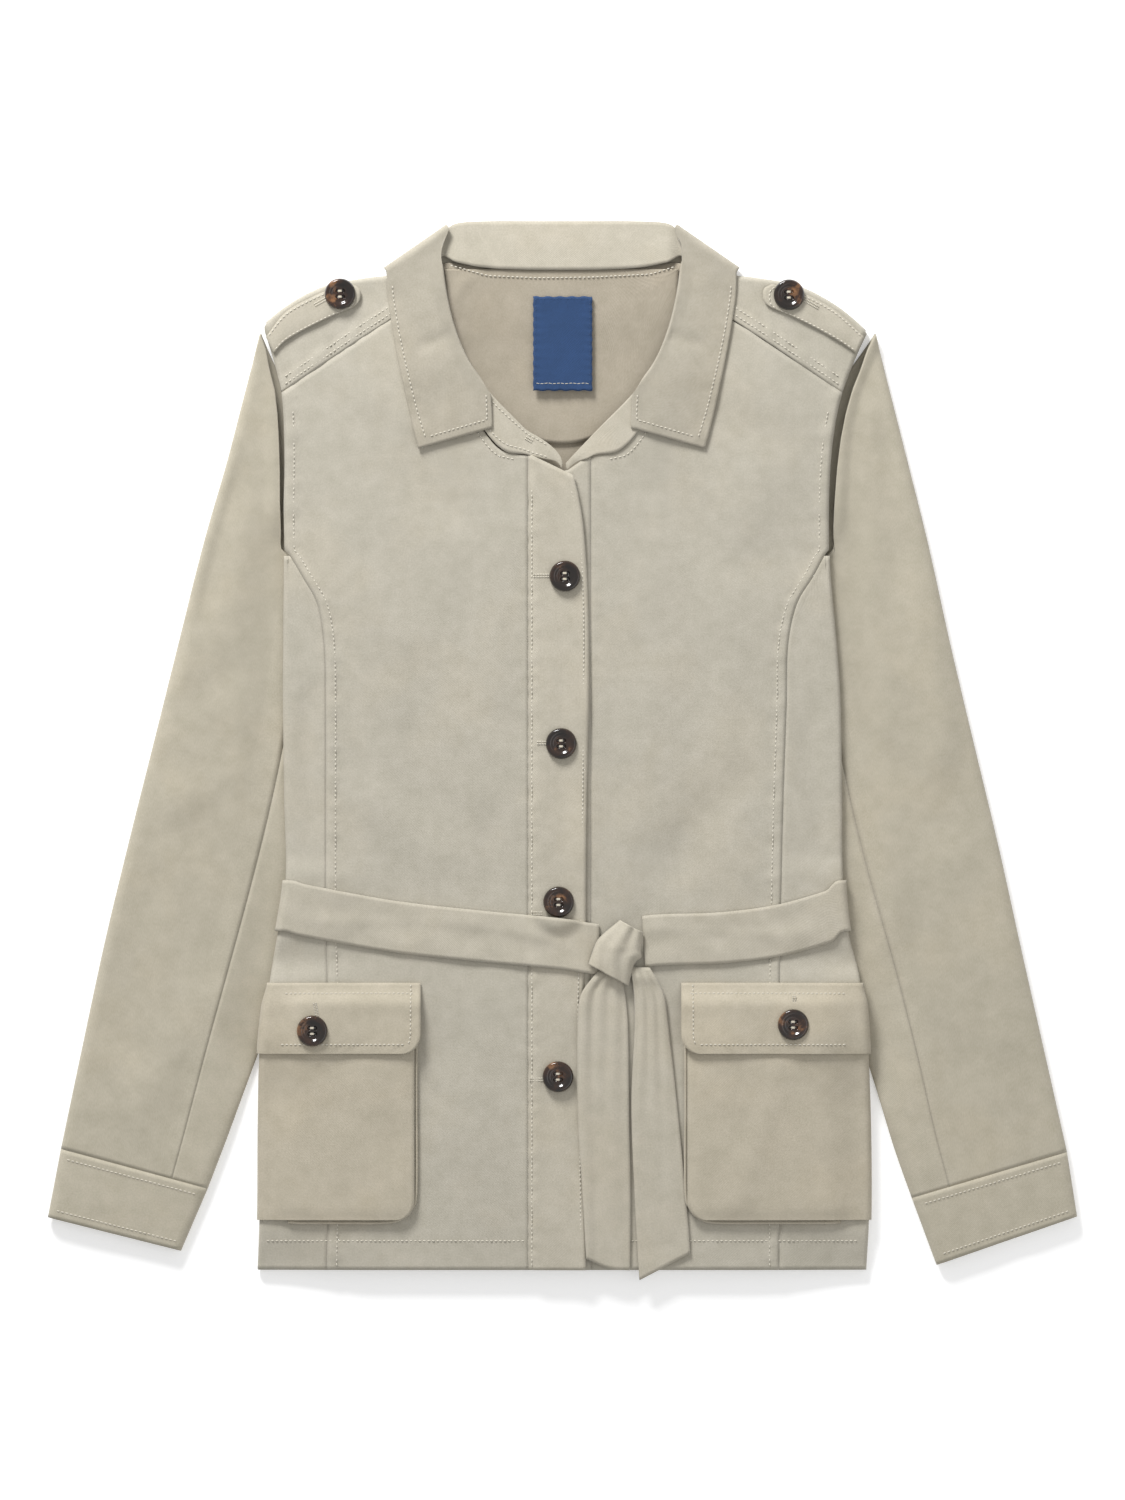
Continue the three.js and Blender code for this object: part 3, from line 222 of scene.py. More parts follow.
# Formula: the table, plus eased lifts over the sleeve, the belt, the pocket's turned end and the collar.
def backHeight(side, x, y):
    rows = np.abs(sleeveRows[side][:, 2:])
    rows[:, 1] = sleeveRows[side][:, 3]
    inner = column(rows, 1, 0, y)
    overSleeve = ease((x - inner + body["liftRun"]) / body["liftRun"])
    overSleeve = overSleeve * ease((y - body["sleeveLeavesY"] + 50) / 50)
    overSleeve = overSleeve * ease((body["underarmTop"] + 82 - y) / 56)
    overBelt = ease((belted["width"] / 2 + 18 - np.abs(y - belted["sideY"])) / 16)
    pocketEdge = edgeAt(side, np.minimum(y, body["underarmY"])) - pocketCut["wrap"]
    overPocket = (ease((x - pocketEdge + 26) / 22) * 2 * ease((y - pocketCut["bottom"] + 34) / 30)
                  * ease((pocketCut["top"] + 14 - y) / 14))
    overCollar = ease((y - 250) / 42) * ease((125 - x) / 15)
    return (tableMid + (onSleeve - tableMid) * overSleeve + belted["away"] * overBelt
            + layer * (overPocket + overCollar))


# Formula: level at the chest, eased down to the side folds, the armhole and the shoulder fold, plus creases.
def frontHeight(side, x, y):
    x, y = np.asarray(x, float), np.asarray(y, float)
    edge, r = edgeAt(side, y), body["foldRadius"]
    atFold = backHeight(side, edge - r, y) + 2 * r
    atEdge = mix(atFold, body["armholeHeight"], ease((y - 100) / 35))
    across = mix(atEdge, body["chestHeight"], ease((edge - x) / 75))
    level = mix(body["shoulderHeight"], across, ease((shoulderAt(x) - body["shoulderFold"] - y) / 80))
    signed = signOf[side] * x
    calm = ease((edge - x) / 14) * ease((shoulderAt(x) - y) / 22) * ease((y - body["hemY"]) / 16)
    return level + calm * (creaseField(creases, signed, y) + ripple(signed, y))


# Formula: one layer, eased in at the placket's seam and out past its free edge.
def placketStep(side, x, y):
    signed = signOf[side] * np.asarray(x, float)
    start = ease((signed + body["placketSeamX"] + 1) / 7)
    return layer * start * ease((placketEdgeAt(y) + 7.5 - signed) / 7)


# Formula: the height of the front that x lies on, with the placket's step.
def frontTop(x, y):
    x = np.asarray(x, float)
    left = frontHeight("left", np.abs(x), y) + placketStep("left", np.abs(x), y)
    right = frontHeight("right", np.abs(x), y) + placketStep("right", np.abs(x), y)
    return np.where(x < 0, left, right)


# Formula: the front's height, a half circle round the side fold, then the back's height under it.
def bodyPoint(side, w, y, d, overPlacket=False):
    sign, r = signOf[side], body["foldRadius"]
    w, y = np.broadcast_arrays(np.asarray(w, float), np.asarray(y, float))
    start = edgeAt(side, y) - r
    past = w - start
    front = frontHeight(side, np.minimum(w, start), y) + (placketStep(side, w, y) if overPlacket else 0) + d
    angle = np.clip(past / r, 0, np.pi)
    middle = backHeight(side, start, y) + r
    under = start - (past - np.pi * r)
    x = np.where(past <= 0, w, np.where(past <= np.pi * r, start + (r + d) * np.sin(angle), under))
    z = np.where(past <= 0, front, np.where(past <= np.pi * r, middle + (r + d) * np.cos(angle),
                                            backHeight(side, under, y) - d))
    return np.stack([sign * x, y, z], -1)


# Meshes: every cloth piece is a grid of points, its middle surface, with a wall built round it.

# Formula: the points shifted to the model's origin and turned into metres.
def newMesh(name, points, quads):
    points = (np.asarray(points, float).reshape(-1, 3) + originShift) * mm
    quads = np.asarray(quads, np.int32)
    mesh = bpy.data.meshes.new(name)
    mesh.vertices.add(len(points))
    mesh.vertices.foreach_set("co", points.ravel())
    mesh.loops.add(quads.size)
    mesh.loops.foreach_set("vertex_index", quads.ravel())
    mesh.polygons.add(len(quads))
    mesh.polygons.foreach_set("loop_start", np.arange(0, quads.size, quads.shape[1]))
    mesh.polygons.foreach_set("loop_total", np.full(len(quads), quads.shape[1]))
    mesh.update(calc_edges=True)
    mesh.validate()
    mesh.polygons.foreach_set("use_smooth", np.ones(len(mesh.polygons), bool))
    obj = bpy.data.objects.new(name, mesh)
    bpy.context.scene.collection.objects.link(obj)
    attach(obj, "root")
    return obj


# Formula: the cross product of the steps along the grid's two directions.
def gridNormals(grid):
    normal = np.cross(np.gradient(grid, axis=1), np.gradient(grid, axis=0))
    return normal / np.maximum(np.linalg.norm(normal, axis=-1, keepdims=True), 1e-9)


# Formula: half of the wall on each side of the grid along its normals, closed by a lip round the border.
def wallOf(grid, thickness):
    rows, cols = grid.shape[:2]
    normal = gridNormals(grid)
    top, under = grid + normal * thickness / 2, grid - normal * thickness / 2
    points = np.concatenate([top.reshape(-1, 3), under.reshape(-1, 3)])
    i, j = np.meshgrid(np.arange(rows - 1), np.arange(cols - 1), indexing="ij")
    a = (i * cols + j).ravel()
    face = np.stack([a, a + 1, a + cols + 1, a + cols], -1)
    n = rows * cols
    ring = np.concatenate([np.arange(cols), np.arange(1, rows) * cols + cols - 1,
                           (rows - 1) * cols + np.arange(cols - 2, -1, -1),
                           np.arange(rows - 2, 0, -1) * cols])
    nextOne = np.roll(ring, -1)
    lip = np.stack([nextOne, ring, ring + n, nextOne + n], -1)
    quads = np.concatenate([face, face[:, ::-1] + n, lip])
    if turnOf(points, quads) < 0:
        quads = quads[:, ::-1]
    return points, quads


# Formula: six times the volume inside the faces, positive when they face outward.
def turnOf(points, quads):
    a, b, c, d = (points[quads[:, k]] for k in range(4))
    return np.einsum("ij,ij->", a, np.cross(b, c)) + np.einsum("ij,ij->", a, np.cross(c, d))


surfaces = {}                       # the middle surface of each piece, for what is sewn to it


# Formula: half the cloth above the grid's nearest point, where its turned-under part counts as far away.
def onTopOf(node, x, y):
    grid = surfaces[node].reshape(-1, 3)
    away = np.hypot(np.subtract.outer(x, grid[:, 0]), np.subtract.outer(y, grid[:, 1]))
    away = away + 40 * (grid[None, :, 2] < np.median(grid[:, 2]) - 4)
    return grid[np.argmin(away, axis=1), 2] + cloth / 2


# Formula: the distances between neighbouring points of the grid, both ways.
def gridLengths(grid):
    across = np.linalg.norm(np.diff(grid, axis=1), axis=-1)
    along = np.linalg.norm(np.diff(grid, axis=0), axis=-1)
    return across, along


# Puts a cloth shell in place of its piece. Its grain runs in metres along the grid's rows and columns.
def addCloth(node, grid, material, thickness=cloth):
    surfaces[node] = grid
    words = node.split("_")
    name = words[0] + "".join(w.capitalize() for w in words[1:])
    points, quads = wallOf(grid, thickness)
    points[:, 2] = np.maximum(points[:, 2], 0)  # nothing sinks into the table
    obj = newMesh(name, points, quads)
    across, along = gridLengths(grid)
    start = np.zeros((grid.shape[0], 1))
    grainU = np.concatenate([start, np.cumsum(across, axis=1)], axis=1)
    grainV = np.concatenate([start.T[:, :1].repeat(grid.shape[1], 1), np.cumsum(along, axis=0)], axis=0)
    grain = np.stack([grainU, grainV, np.zeros_like(grainU)], -1).reshape(-1, 3)
    attribute = obj.data.attributes.new("grain", "FLOAT_VECTOR", "POINT")
    attribute.data.foreach_set("vector", (np.tile(grain, (2, 1)) * mm).ravel().astype(np.float32))
    obj.data.materials.append(material)
    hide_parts(node)
    return obj


# Stitches: one little spindle each, collected first and made into one mesh at the end.
stitchParts = []


# Formula: a start at every pitch along the line, and an end one stitch further on.
def stitch(line, tone=0, size=2.1, pitch=2.9, thick=0.42):
    line = np.asarray(line, float)
    length = np.r_[0, np.cumsum(np.linalg.norm(np.diff(line, axis=0), axis=1))]
    starts = np.arange(0.5, length[-1] - size, pitch)
    if len(starts) == 0:
        return
    a = np.stack([np.interp(starts, length, line[:, k]) for k in range(3)], -1)
    b = np.stack([np.interp(starts + size, length, line[:, k]) for k in range(3)], -1)
    stitchParts.append((a, b, thick, tone))


# Formula: two ends sunk into the cloth and four points round the middle.
def makeStitches(name, tone, material):
    verts, faces, count = [], [], 0
    for a, b, thick, ownTone in stitchParts:
        if ownTone != tone:
            continue
        run = (b - a) / np.linalg.norm(b - a, axis=1, keepdims=True)
        side = np.cross(run, [0, 0, 1.0])
        side /= np.maximum(np.linalg.norm(side, axis=1, keepdims=True), 1e-6)
        up = np.cross(side, run)
        rings = [a - up * thick * 0.6]
        for at in (0.22, 0.78):
            middle = mix(a, b, at) + up * thick * 0.35
            rings += [middle + side * thick, middle + up * thick * 0.8,
                      middle - side * thick, middle - up * thick]
        rings.append(b - up * thick * 0.6)
        verts.append(np.stack(rings, 1).reshape(-1, 3))
        shape = []
        for k in range(4):
            n = (k + 1) % 4
            shape += [[0, 1 + n, 1 + k], [1 + k, 1 + n, 5 + n], [1 + k, 5 + n, 5 + k], [9, 5 + k, 5 + n]]
        base = count + 10 * np.arange(len(a))[:, None, None]
        faces.append((np.array(shape)[None] + base).reshape(-1, 3))
        count += 10 * len(a)
    obj = newMesh(name, np.concatenate(verts), np.concatenate(faces)[:, ::-1])
    obj.data.materials.append(material)
    print(name, count // 10, "stitches")


# Materials

# A shader group with a scale going in and the named values coming out.
def newGroup(name, outputs):
    group = bpy.data.node_groups.new(name, "ShaderNodeTree")
    group.interface.new_socket("Scale", in_out="INPUT", socket_type="NodeSocketFloat")
    for out in outputs:
        group.interface.new_socket(out, in_out="OUTPUT", socket_type="NodeSocketFloat")
    return group, group.nodes.new("NodeGroupInput"), group.nodes.new("NodeGroupOutput")


# One math node: a number sets its socket, anything else is linked to it.
def mathNode(tree, kind, a, b=None):
    node = tree.nodes.new("ShaderNodeMath")
    node.operation = kind
    for socket, value in zip(node.inputs, (a, b)):
        if value is None:
            continue
        if isinstance(value, (int, float)):
            socket.default_value = value
        else:
            tree.links.new(value, socket)
    return node.outputs[0]


# Twill: diagonal ridges on the grain, shaken by noise, with finer ribs across them.
def twillGroup():
    group, given, out = newGroup("twillWeave", ["Height", "Fleck"])
    grain = group.nodes.new("ShaderNodeAttribute")
    grain.attribute_name = "grain"
    apart = group.nodes.new("ShaderNodeSeparateXYZ")
    group.links.new(grain.outputs["Vector"], apart.inputs[0])
    across = mathNode(group, "MULTIPLY", apart.outputs[0], given.outputs["Scale"])
    along = mathNode(group, "MULTIPLY", apart.outputs[1], given.outputs["Scale"])
    slope = mathNode(group, "ADD", across, mathNode(group, "MULTIPLY", along, 0.62))
    noise = group.nodes.new("ShaderNodeTexNoise")
    noise.inputs["Scale"].default_value = 900
    noise.inputs["Detail"].default_value = 2
    group.links.new(grain.outputs["Vector"], noise.inputs["Vector"])
    shaken = mathNode(group, "ADD", slope, mathNode(group, "MULTIPLY", noise.outputs[0], 2.2))
    ridge = mathNode(group, "SINE", shaken)
    picks = mathNode(group, "SINE", mathNode(group, "MULTIPLY", along, 1.9))
    ribs = mathNode(group, "MULTIPLY", picks, 0.45)
    group.links.new(mathNode(group, "ADD", ridge, ribs), out.inputs["Height"])
    group.links.new(noise.outputs[0], out.inputs["Fleck"])
    return group


# Mottle: soft broad patches, as garment-dyed cotton shows them.
def mottleGroup():
    group, given, out = newGroup("mottle", ["Patch", "Grime"])
    place = group.nodes.new("ShaderNodeTexCoord")
    for output, scale, detail in (("Patch", 14, 5), ("Grime", 95, 4)):
        noise = group.nodes.new("ShaderNodeTexNoise")
        noise.inputs["Detail"].default_value = detail
        noise.inputs["Roughness"].default_value = 0.62
        group.links.new(place.outputs["Object"], noise.inputs["Vector"])
        group.links.new(mathNode(group, "MULTIPLY", given.outputs["Scale"], scale), noise.inputs["Scale"])
        group.links.new(noise.outputs[0], out.inputs[output])
    return group


groups = {"twill": twillGroup(), "mottle": mottleGroup()}


# A shared group placed in a material with its own scale.
def groupNode(tree, name, scale):
    node = tree.nodes.new("ShaderNodeGroup")
    node.node_tree = groups[name]
    node.inputs["Scale"].default_value = scale
    return node


# A colour ramp from stops of place and colour.
def rampNode(tree, value, stops):
    node = tree.nodes.new("ShaderNodeValToRGB")
    while len(node.color_ramp.elements) < len(stops):
        node.color_ramp.elements.new(0.5)
    for element, (at, colour) in zip(node.color_ramp.elements, stops):
        element.position = at
        element.color = (*colour, 1)
    tree.links.new(value, node.inputs[0])
    return node.outputs[0]


# A mix of two colours by a kind and an amount.
def mixColour(tree, kind, amount, a, b):
    node = tree.nodes.new("ShaderNodeMix")
    node.data_type = "RGBA"
    node.blend_type = kind
    sockets = [s for s in node.inputs if s.type in ("RGBA", "VALUE") and s.enabled]
    for socket, value in zip(sockets, (amount, a, b)):
        if isinstance(value, (int, float)):
            socket.default_value = value
        elif isinstance(value, tuple):
            socket.default_value = (*value, 1)
        else:
            tree.links.new(value, socket)
    return [s for s in node.outputs if s.type == "RGBA" and s.enabled][0]


# A material, its tree and its surface shader.
def newMaterial(name):
    material = bpy.data.materials.new(name)
    material.use_nodes = True
    tree = material.node_tree
    return material, tree, tree.nodes["Principled BSDF"]


twillRidges = 6200                  # radians of twill a metre, about one ridge a millimetre


# Twill cloth: mottled colour times grime and thread fleck, with the weave as bump.
def twillMaterial(name, colour, mottled=0.35, weave=1.0):
    material, tree, shader = newMaterial(name)
    threads = groupNode(tree, "twill", twillRidges)
    patches = groupNode(tree, "mottle", 1.0)
    warm = tuple(c * k for c, k in zip(colour, (1.05, 1.02, 0.97)))
    cool = tuple(c * k for c, k in zip(colour, (0.95, 0.96, 0.95)))
    broad = rampNode(tree, patches.outputs["Patch"], [(0.36, cool), (0.5, colour), (0.64, warm)])
    fine = rampNode(tree, patches.outputs["Grime"], [(0.3, (0.93, 0.93, 0.92)), (0.68, (1.05, 1.05, 1.06))])
    fleck = rampNode(tree, threads.outputs["Fleck"], [(0.3, (0.9, 0.9, 0.89)), (0.7, (1.07, 1.07, 1.08))])
    base = mixColour(tree, "MIX", mottled, colour, broad)
    base = mixColour(tree, "MULTIPLY", 1.0, base, fine)
    base = mixColour(tree, "MULTIPLY", 0.8, base, fleck)
    tree.links.new(base, shader.inputs["Base Color"])
    shader.inputs["Roughness"].default_value = 0.86
    shader.inputs["Specular IOR Level"].default_value = 0.25
    shader.inputs["Sheen Weight"].default_value = 0.22
    shader.inputs["Sheen Roughness"].default_value = 0.5
    bump = tree.nodes.new("ShaderNodeBump")
    bump.inputs["Strength"].default_value = 0.35 * weave
    bump.inputs["Distance"].default_value = 0.0001
    tree.links.new(threads.outputs["Height"], bump.inputs["Height"])
    tree.links.new(bump.outputs[0], shader.inputs["Normal"])
    return material


# One colour with its roughness and sheen.
def plainMaterial(name, colour, rough, sheen=0.0):
    material, _, shader = newMaterial(name)
    shader.inputs["Base Color"].default_value = (*colour, 1)
    shader.inputs["Roughness"].default_value = rough
    shader.inputs["Sheen Weight"].default_value = sheen
    return material


# Horn: dark brown with clouded amber patches under a clear gloss.
def hornMaterial():
    material, tree, shader = newMaterial("horn")
    patches = groupNode(tree, "mottle", 5.0)
    stops = [(0.42, (0.012, 0.008, 0.006)), (0.56, (0.035, 0.016, 0.009)), (0.66, (0.22, 0.105, 0.045))]
    colour = rampNode(tree, patches.outputs["Patch"], stops)
    tree.links.new(colour, shader.inputs["Base Color"])
    shader.inputs["Roughness"].default_value = 0.16
    shader.inputs["Coat Weight"].default_value = 0.5
    return material


twill = twillMaterial("twillFront", (0.452, 0.4215, 0.349))
twillWarm = twillMaterial("twillSleeve", (0.45, 0.412, 0.325))
twillPocket = twillMaterial("twillPocket", (0.46, 0.415, 0.325))
twillPale = twillMaterial("twillTrim", (0.468, 0.432, 0.352))
twillLeaf = twillMaterial("twillLeaf", (0.405, 0.372, 0.302))
# The inside cloth is the front's twill darkened: painted shade for the inside of the back, seen deep in the
# neck opening.
twillInside = twillMaterial("twillInside", (0.385, 0.34, 0.266))
sewing = plainMaterial("sewingThread", (0.61, 0.57, 0.48), 0.7, 0.3)
buttonThread = plainMaterial("buttonThread", (0.62, 0.57, 0.46), 0.7, 0.3)
labelCloth = twillMaterial("labelCloth", (0.024, 0.06, 0.152), 0.3, 1.4)
horn = hornMaterial()
print("materials made")


# Pieces

# Lines of stitches: distance from the seam or edge that they follow
stitchAway = {"princess": 6.2, "hem": 19.0, "neck": 3.0, "yoke": (4.0, 9.0), "placketSeam": 2.4,
              "placketEdge": 3.0, "flap": 5.8}
# Height up to which rows stay level, half the gap at a seam, and the length of the half turn round the side
# fold
levelY = 35.0
seam = seamGap / 2
turn = math.pi * body["foldRadius"]


# Formula: even steps of about the given length from a to b.
def span(a, b, step=3.0):
    return np.linspace(a, b, max(2, int(round(abs(b - a) / step)) + 1))


# Formula: level rows up to a height, stretched above it to end at the piece's own top.
def rowY(y, ownTop, seamTop):
    return np.where(y <= levelY, y, levelY + (y - levelY) * (ownTop - levelY) / (seamTop - levelY))


# Formula: a low step up to the seam, where the folded allowance lies between the seam and its stitches.
def allowance(distance, width, height=0.6):
    return height * ease((width - distance) / 1.8) * ease((distance + 0.4) / 1.4)


# Front: rows from the hem to the neck and the yoke seam, columns from the placket seam outward.
def front(side):
    top = np.vstack([smoothLine(neckFront, 60), yokeSeam[1:]])
    corner = yokeSeam[-1, 1]

    def outerAt(y):
        return np.where(y < body["underarmY"], princessAt(side, y), edgeAt(side, y)) - seam

    inner = (body["placketSeamX"] if side == "left" else body["underPlacketX"]) + seam
    share = (top[:, 0] - body["placketSeamX"]) / (outerAt(top[:, 1]) - body["placketSeamX"])
    share[-1] = 1
    u = np.linspace(0, 1, 56)[None, :]
    topY = np.interp(u, share, top[:, 1] - seam)
    y = rowY(span(body["hemY"], corner)[:, None], topY, corner)
    x = mix(inner, outerAt(y), u)
    toSeam, toTop, toHem = outerAt(y) - x, topY - y, y - body["hemY"]
    rise = allowance(toSeam, 7.0) + pucker(toSeam - stitchAway["princess"], y)
    rise += pucker(toHem - stitchAway["hem"], x, 0.2) * ease((60 - toHem) / 30)
    rise += np.where(x > yokeSeam[0, 0], allowance(toTop, 3, 0.25), 0) + pucker(x - inner - 3, y, 0.12)
    grid = np.stack([signOf[side] * x, y, frontHeight(side, x, y) + rise], -1)
    addCloth(f"front_{side}", grid, twill)
    ys = span(body["hemY"] + 2, 222, 4)
    stitch(bodyPoint(side, outerAt(ys) - stitchAway["princess"], ys, cloth / 2 + 0.3))
    hemLine = body["hemY"] + stitchAway["hem"]
    xs = span(inner + 2, edgeAt(side, hemLine + 0.5) - 4, 4)
    stitch(bodyPoint(side, xs, np.full_like(xs, hemLine), cloth / 2 + 0.1))
    neck = smoothLine(neckFront, 60)
    ys = neck[:, 1] - stitchAway["neck"]
    stitch(bodyPoint(side, neck[:, 0] + 2.5, ys, cloth / 2 + 0.12)[6:])


# Side panel: its flat part, the half-round side fold and its underside, side by side.
def sidePanel(side):
    def foldStart(y):
        return edgeAt(side, y) - body["foldRadius"]

    seamTop = body["underarmY"] - 2
    y = span(body["hemY"], seamTop)[:, None]
    u = np.linspace(0, 1, 16)[None, :]
    start = princessAt(side, y) + seam
    w = np.minimum(mix(start, foldStart(y), u), foldStart(y) - 0.01 * (1 - u))
    rise = allowance(w - start, 4, 0.2) + pucker(y - body["hemY"] - stitchAway["hem"], w, 0.15)
    flat = bodyPoint(side, w, y, rise)
    u = np.linspace(0, 1, 9)[None, 1:]
    fold = bodyPoint(side, foldStart(y) + u * turn, y, 0)
    u = np.linspace(0, 1, 14)[None, 1:]
    py = rowY(y, mix(seamTop, body["underarmTop"], ease(u)), seamTop)
    own = foldStart(py)
    x = mix(own, edgeAt(side, np.minimum(py, body["underarmY"])) - body["underWrap"] + seam, u)
    under = bodyPoint(side, own + turn + own - x, py, 0)
    addCloth(f"side_panel_{side}", np.concatenate([flat, fold, under], axis=1), twill)


# Back panel: each half runs from the middle to the side seam and armhole at the back's height.
def backPanel():
    cornerX, cornerY = backArmhole[-1]
    seamTop = body["underarmY"] - 2
    halves = []
    for side in ("left", "right"):
        low = rowY(span(body["hemY"], seamTop, 5), body["underarmTop"], seamTop)
        rows = np.r_[low, span(body["underarmTop"], cornerY, 4)[1:]][:, None]
        share = np.linspace(0, 1, 46)[None, :]
        topY = backTopAt(share * cornerX) - seam
        y = rowY(rows, topY, cornerY)
        held = np.minimum(y, cornerY)
        outer = np.where(held <= body["underarmTop"], edgeAt(side, np.minimum(held, 128)) - body["underWrap"],
                         np.interp(held, backArmhole[:, 1], backArmhole[:, 0])) - seam
        x = outer * share
        signed = signOf[side] * x
        soft = ease((y - 150) / 40) * ease((topY - y) / 12)
        z = backHeight(side, x, y) + soft * (0.35 * ripple(signed * 1.6, y * 1.4)
                                             - 0.35 * np.exp(-((signed + 75 + 0.5 * (y - 220)) / 6) ** 2))
        halves.append(np.stack([signed, y, z], -1))
    # The back panel takes the darkened inside cloth, whose colour is painted shade.
    addCloth("back_panel", np.concatenate([halves[0][:, ::-1], halves[1][:, 1:]], axis=1), twillInside)


# Yoke: the part above its seam, a half turn over the shoulder fold, then the part behind.
def yoke(side):
    r = body["shoulderFold"]
    u = np.linspace(0, 1, 40)[:, None]
    base = alongLine(yokeSeam, u[:, 0])
    base[:, 1] = np.interp(base[:, 0], yokeSeam[:, 0], yokeSeam[:, 1])
    outerTop = edgeAt(side, 268) - seam
    xTop = mix(body["yokeNeckX"], outerTop, u)
    foldY = shoulderAt(xTop) - r
    v = np.linspace(0, 1, 24)[None, :]
    y = mix(base[:, 1:2] + seam, foldY, v)
    x = mix(base[:, :1] + seam * (u == 0), xTop, v)
    x = np.where(u > 0.99, edgeAt(side, y) - seam, x)
    above = y - base[:, 1:2]
    low, high = stitchAway["yoke"]
    z = frontHeight(side, x, y) + allowance(above, 10, 0.4) + pucker(above - low, x) + pucker(above - high, x)
    top = np.stack([signOf[side] * x, y, z], -1)
    bottomZ, topZ = backHeight(side, xTop, foldY), top[:, -1:, 2]
    angle = np.linspace(0, 1, 9)[None, 1:] * math.pi
    z = (bottomZ + topZ) / 2 + (topZ - bottomZ) / 2 * np.cos(angle)
    fold = np.stack([signOf[side] * xTop + 0 * angle, foldY + r * np.sin(angle), z], -1)
    v = np.linspace(0, 1, 8)[None, 1:]
    x = mix(xTop, mix(body["yokeNeckX"], backArmhole[-1, 0] - seam, u), v)
    y = mix(foldY, backTopAt(x) + seam, v)
    under = np.stack([signOf[side] * x, y, backHeight(side, x, y)], -1)
    addCloth(f"yoke_{side}", np.concatenate([top, fold, under], axis=1), twill)
    for away in (low, high):
        line = alongLine(yokeSeam, np.linspace(0.02, 0.98, 60))
        ys = line[:, 1] + away
        z = frontHeight(side, line[:, 0], ys) + cloth / 2 + (0.5 if away < high else 0.3)
        stitch(np.stack([signOf[side] * line[:, 0], ys, z], -1))


# Plackets: the rows are level up to the chest button; the tops of the over and under one run slanting,
# from their height at the seam to that at the middle
placketCut = {"levelTo": 111, "top": 172, "overTop": (192.5, 178), "underTop": (181, 192), "lap": 8}


# Formula: above the chest button the rows slant up to a line of their own, as the neck does.
def slant(y, ownTop):
    levelTo, top = placketCut["levelTo"], placketCut["top"]
    return y + np.clip((y - levelTo) / (top - levelTo), 0, 1) * (ownTop - top)


# Plackets: two strips at the front's height, the over one a layer higher with a waved edge.
def plackets():
    y = span(body["hemY"], placketCut["top"], 2.6)[:, None]
    u = np.linspace(0, 1, 18)[None, :]
    edge = placketEdgeAt(y) + 0.5 * np.sin(y / 33) * ease((y + 330) / 30)
    x = mix(-body["placketSeamX"] + seam, edge, u)
    lift = layer * ease((x + body["placketSeamX"]) / 5)
    wave = 0.7 * ease((u - 0.55) / 0.45) * (1 + np.sin(y / 27 + 2 * np.sin(y / 61)))
    fromSeam = x + body["placketSeamX"]
    rise = wave + allowance(edge - x, 4, 0.3) + pucker(fromSeam - stitchAway["placketSeam"], y)
    py = slant(y, mix(*placketCut["overTop"], fromSeam / 30))
    z = frontHeight("left", np.abs(x), py) + lift + rise
    addCloth("placket_over", np.stack([x, py, z], -1), twillPale)
    u = np.linspace(0, 1, 12)[None, :]
    x = mix(-body["placketSeamX"] + placketCut["lap"], body["underPlacketX"] - seam, u) + 0 * y
    py = slant(y, mix(*placketCut["underTop"], np.maximum(0, (x - 3) / 16)))
    addCloth("placket_under", np.stack([x, py, frontHeight("right", np.abs(x), py)], -1), twill)
    ys = span(body["hemY"] + 2, 170, 4)
    seamLine = np.full_like(ys, -body["placketSeamX"] + stitchAway["placketSeam"])
    for xs in (seamLine, placketEdgeAt(ys) - stitchAway["placketEdge"]):
        z = frontHeight("left", np.abs(xs), ys) + layer * ease((xs + body["placketSeamX"]) / 5) + cloth / 2
        stitch(np.stack([xs, ys, z + np.where(xs > 0, 0.62, 0.2)], -1))


# Creases of the sleeves, as in the table of the body's creases
sleeveCreases = np.array([
    [-215, 190, -235, 60, -1.0, 12], [-235, 90, -250, -40, 0.9, 14], [-200, 60, -250, 20, -0.7, 14],
    [-215, -10, -262, -50, 0.6, 14], [-262, -80, -285, -210, -0.8, 13], [-225, -150, -270, -240, 0.6, 14],
    [-300, -190, -270, -250, 0.5, 10], [205, 215, 232, 90, -1.0, 13], [228, 120, 246, -20, 1.2, 12],
    [215, 10, 258, -60, -0.7, 14], [246, -60, 285, -200, 0.9, 12], [214, -120, 262, -220, -0.8, 12],
    [285, -120, 305, -230, 0.5, 12], [220, 60, 262, 0, 0.5, 12]])


# The head's border: down beside the armhole, then under the body to the inner fold.
def sleeveHead(side):
    edge, sign = edgeAt(side, body["underarmY"]), signOf[side]
    ys = np.array([268, 258, 245, 232, 217, 200, 181, 160, 142])
    tucked = sleeveCut["tuck"] * (ys > sleeveCut["tuckedAbove"])
    down = np.stack([sign * (edgeAt(side, ys) + 0.14 - tucked), ys], -1)
    tuck = [[sign * (edge + 1.3), 131], [sign * (edge - 4), 125], [sign * (edge - 24), 119],
            [sign * (edge - 44), 109], sleeveRows[side][0, 2:]]
    return np.vstack([down, tuck])


# The same border at the back: along the back armhole to the inner fold.
def sleeveHeadBack(side):
    sign = signOf[side]
    back = backArmhole[:0:-1] * [sign, 1] + [sign * 0.4, 0.2]
    top = sleeveCut["backHeadY"]
    return np.vstack([[[sign * (edgeAt(side, top) + 0.15), top]], back, [sleeveRows[side][0, 2:]]])


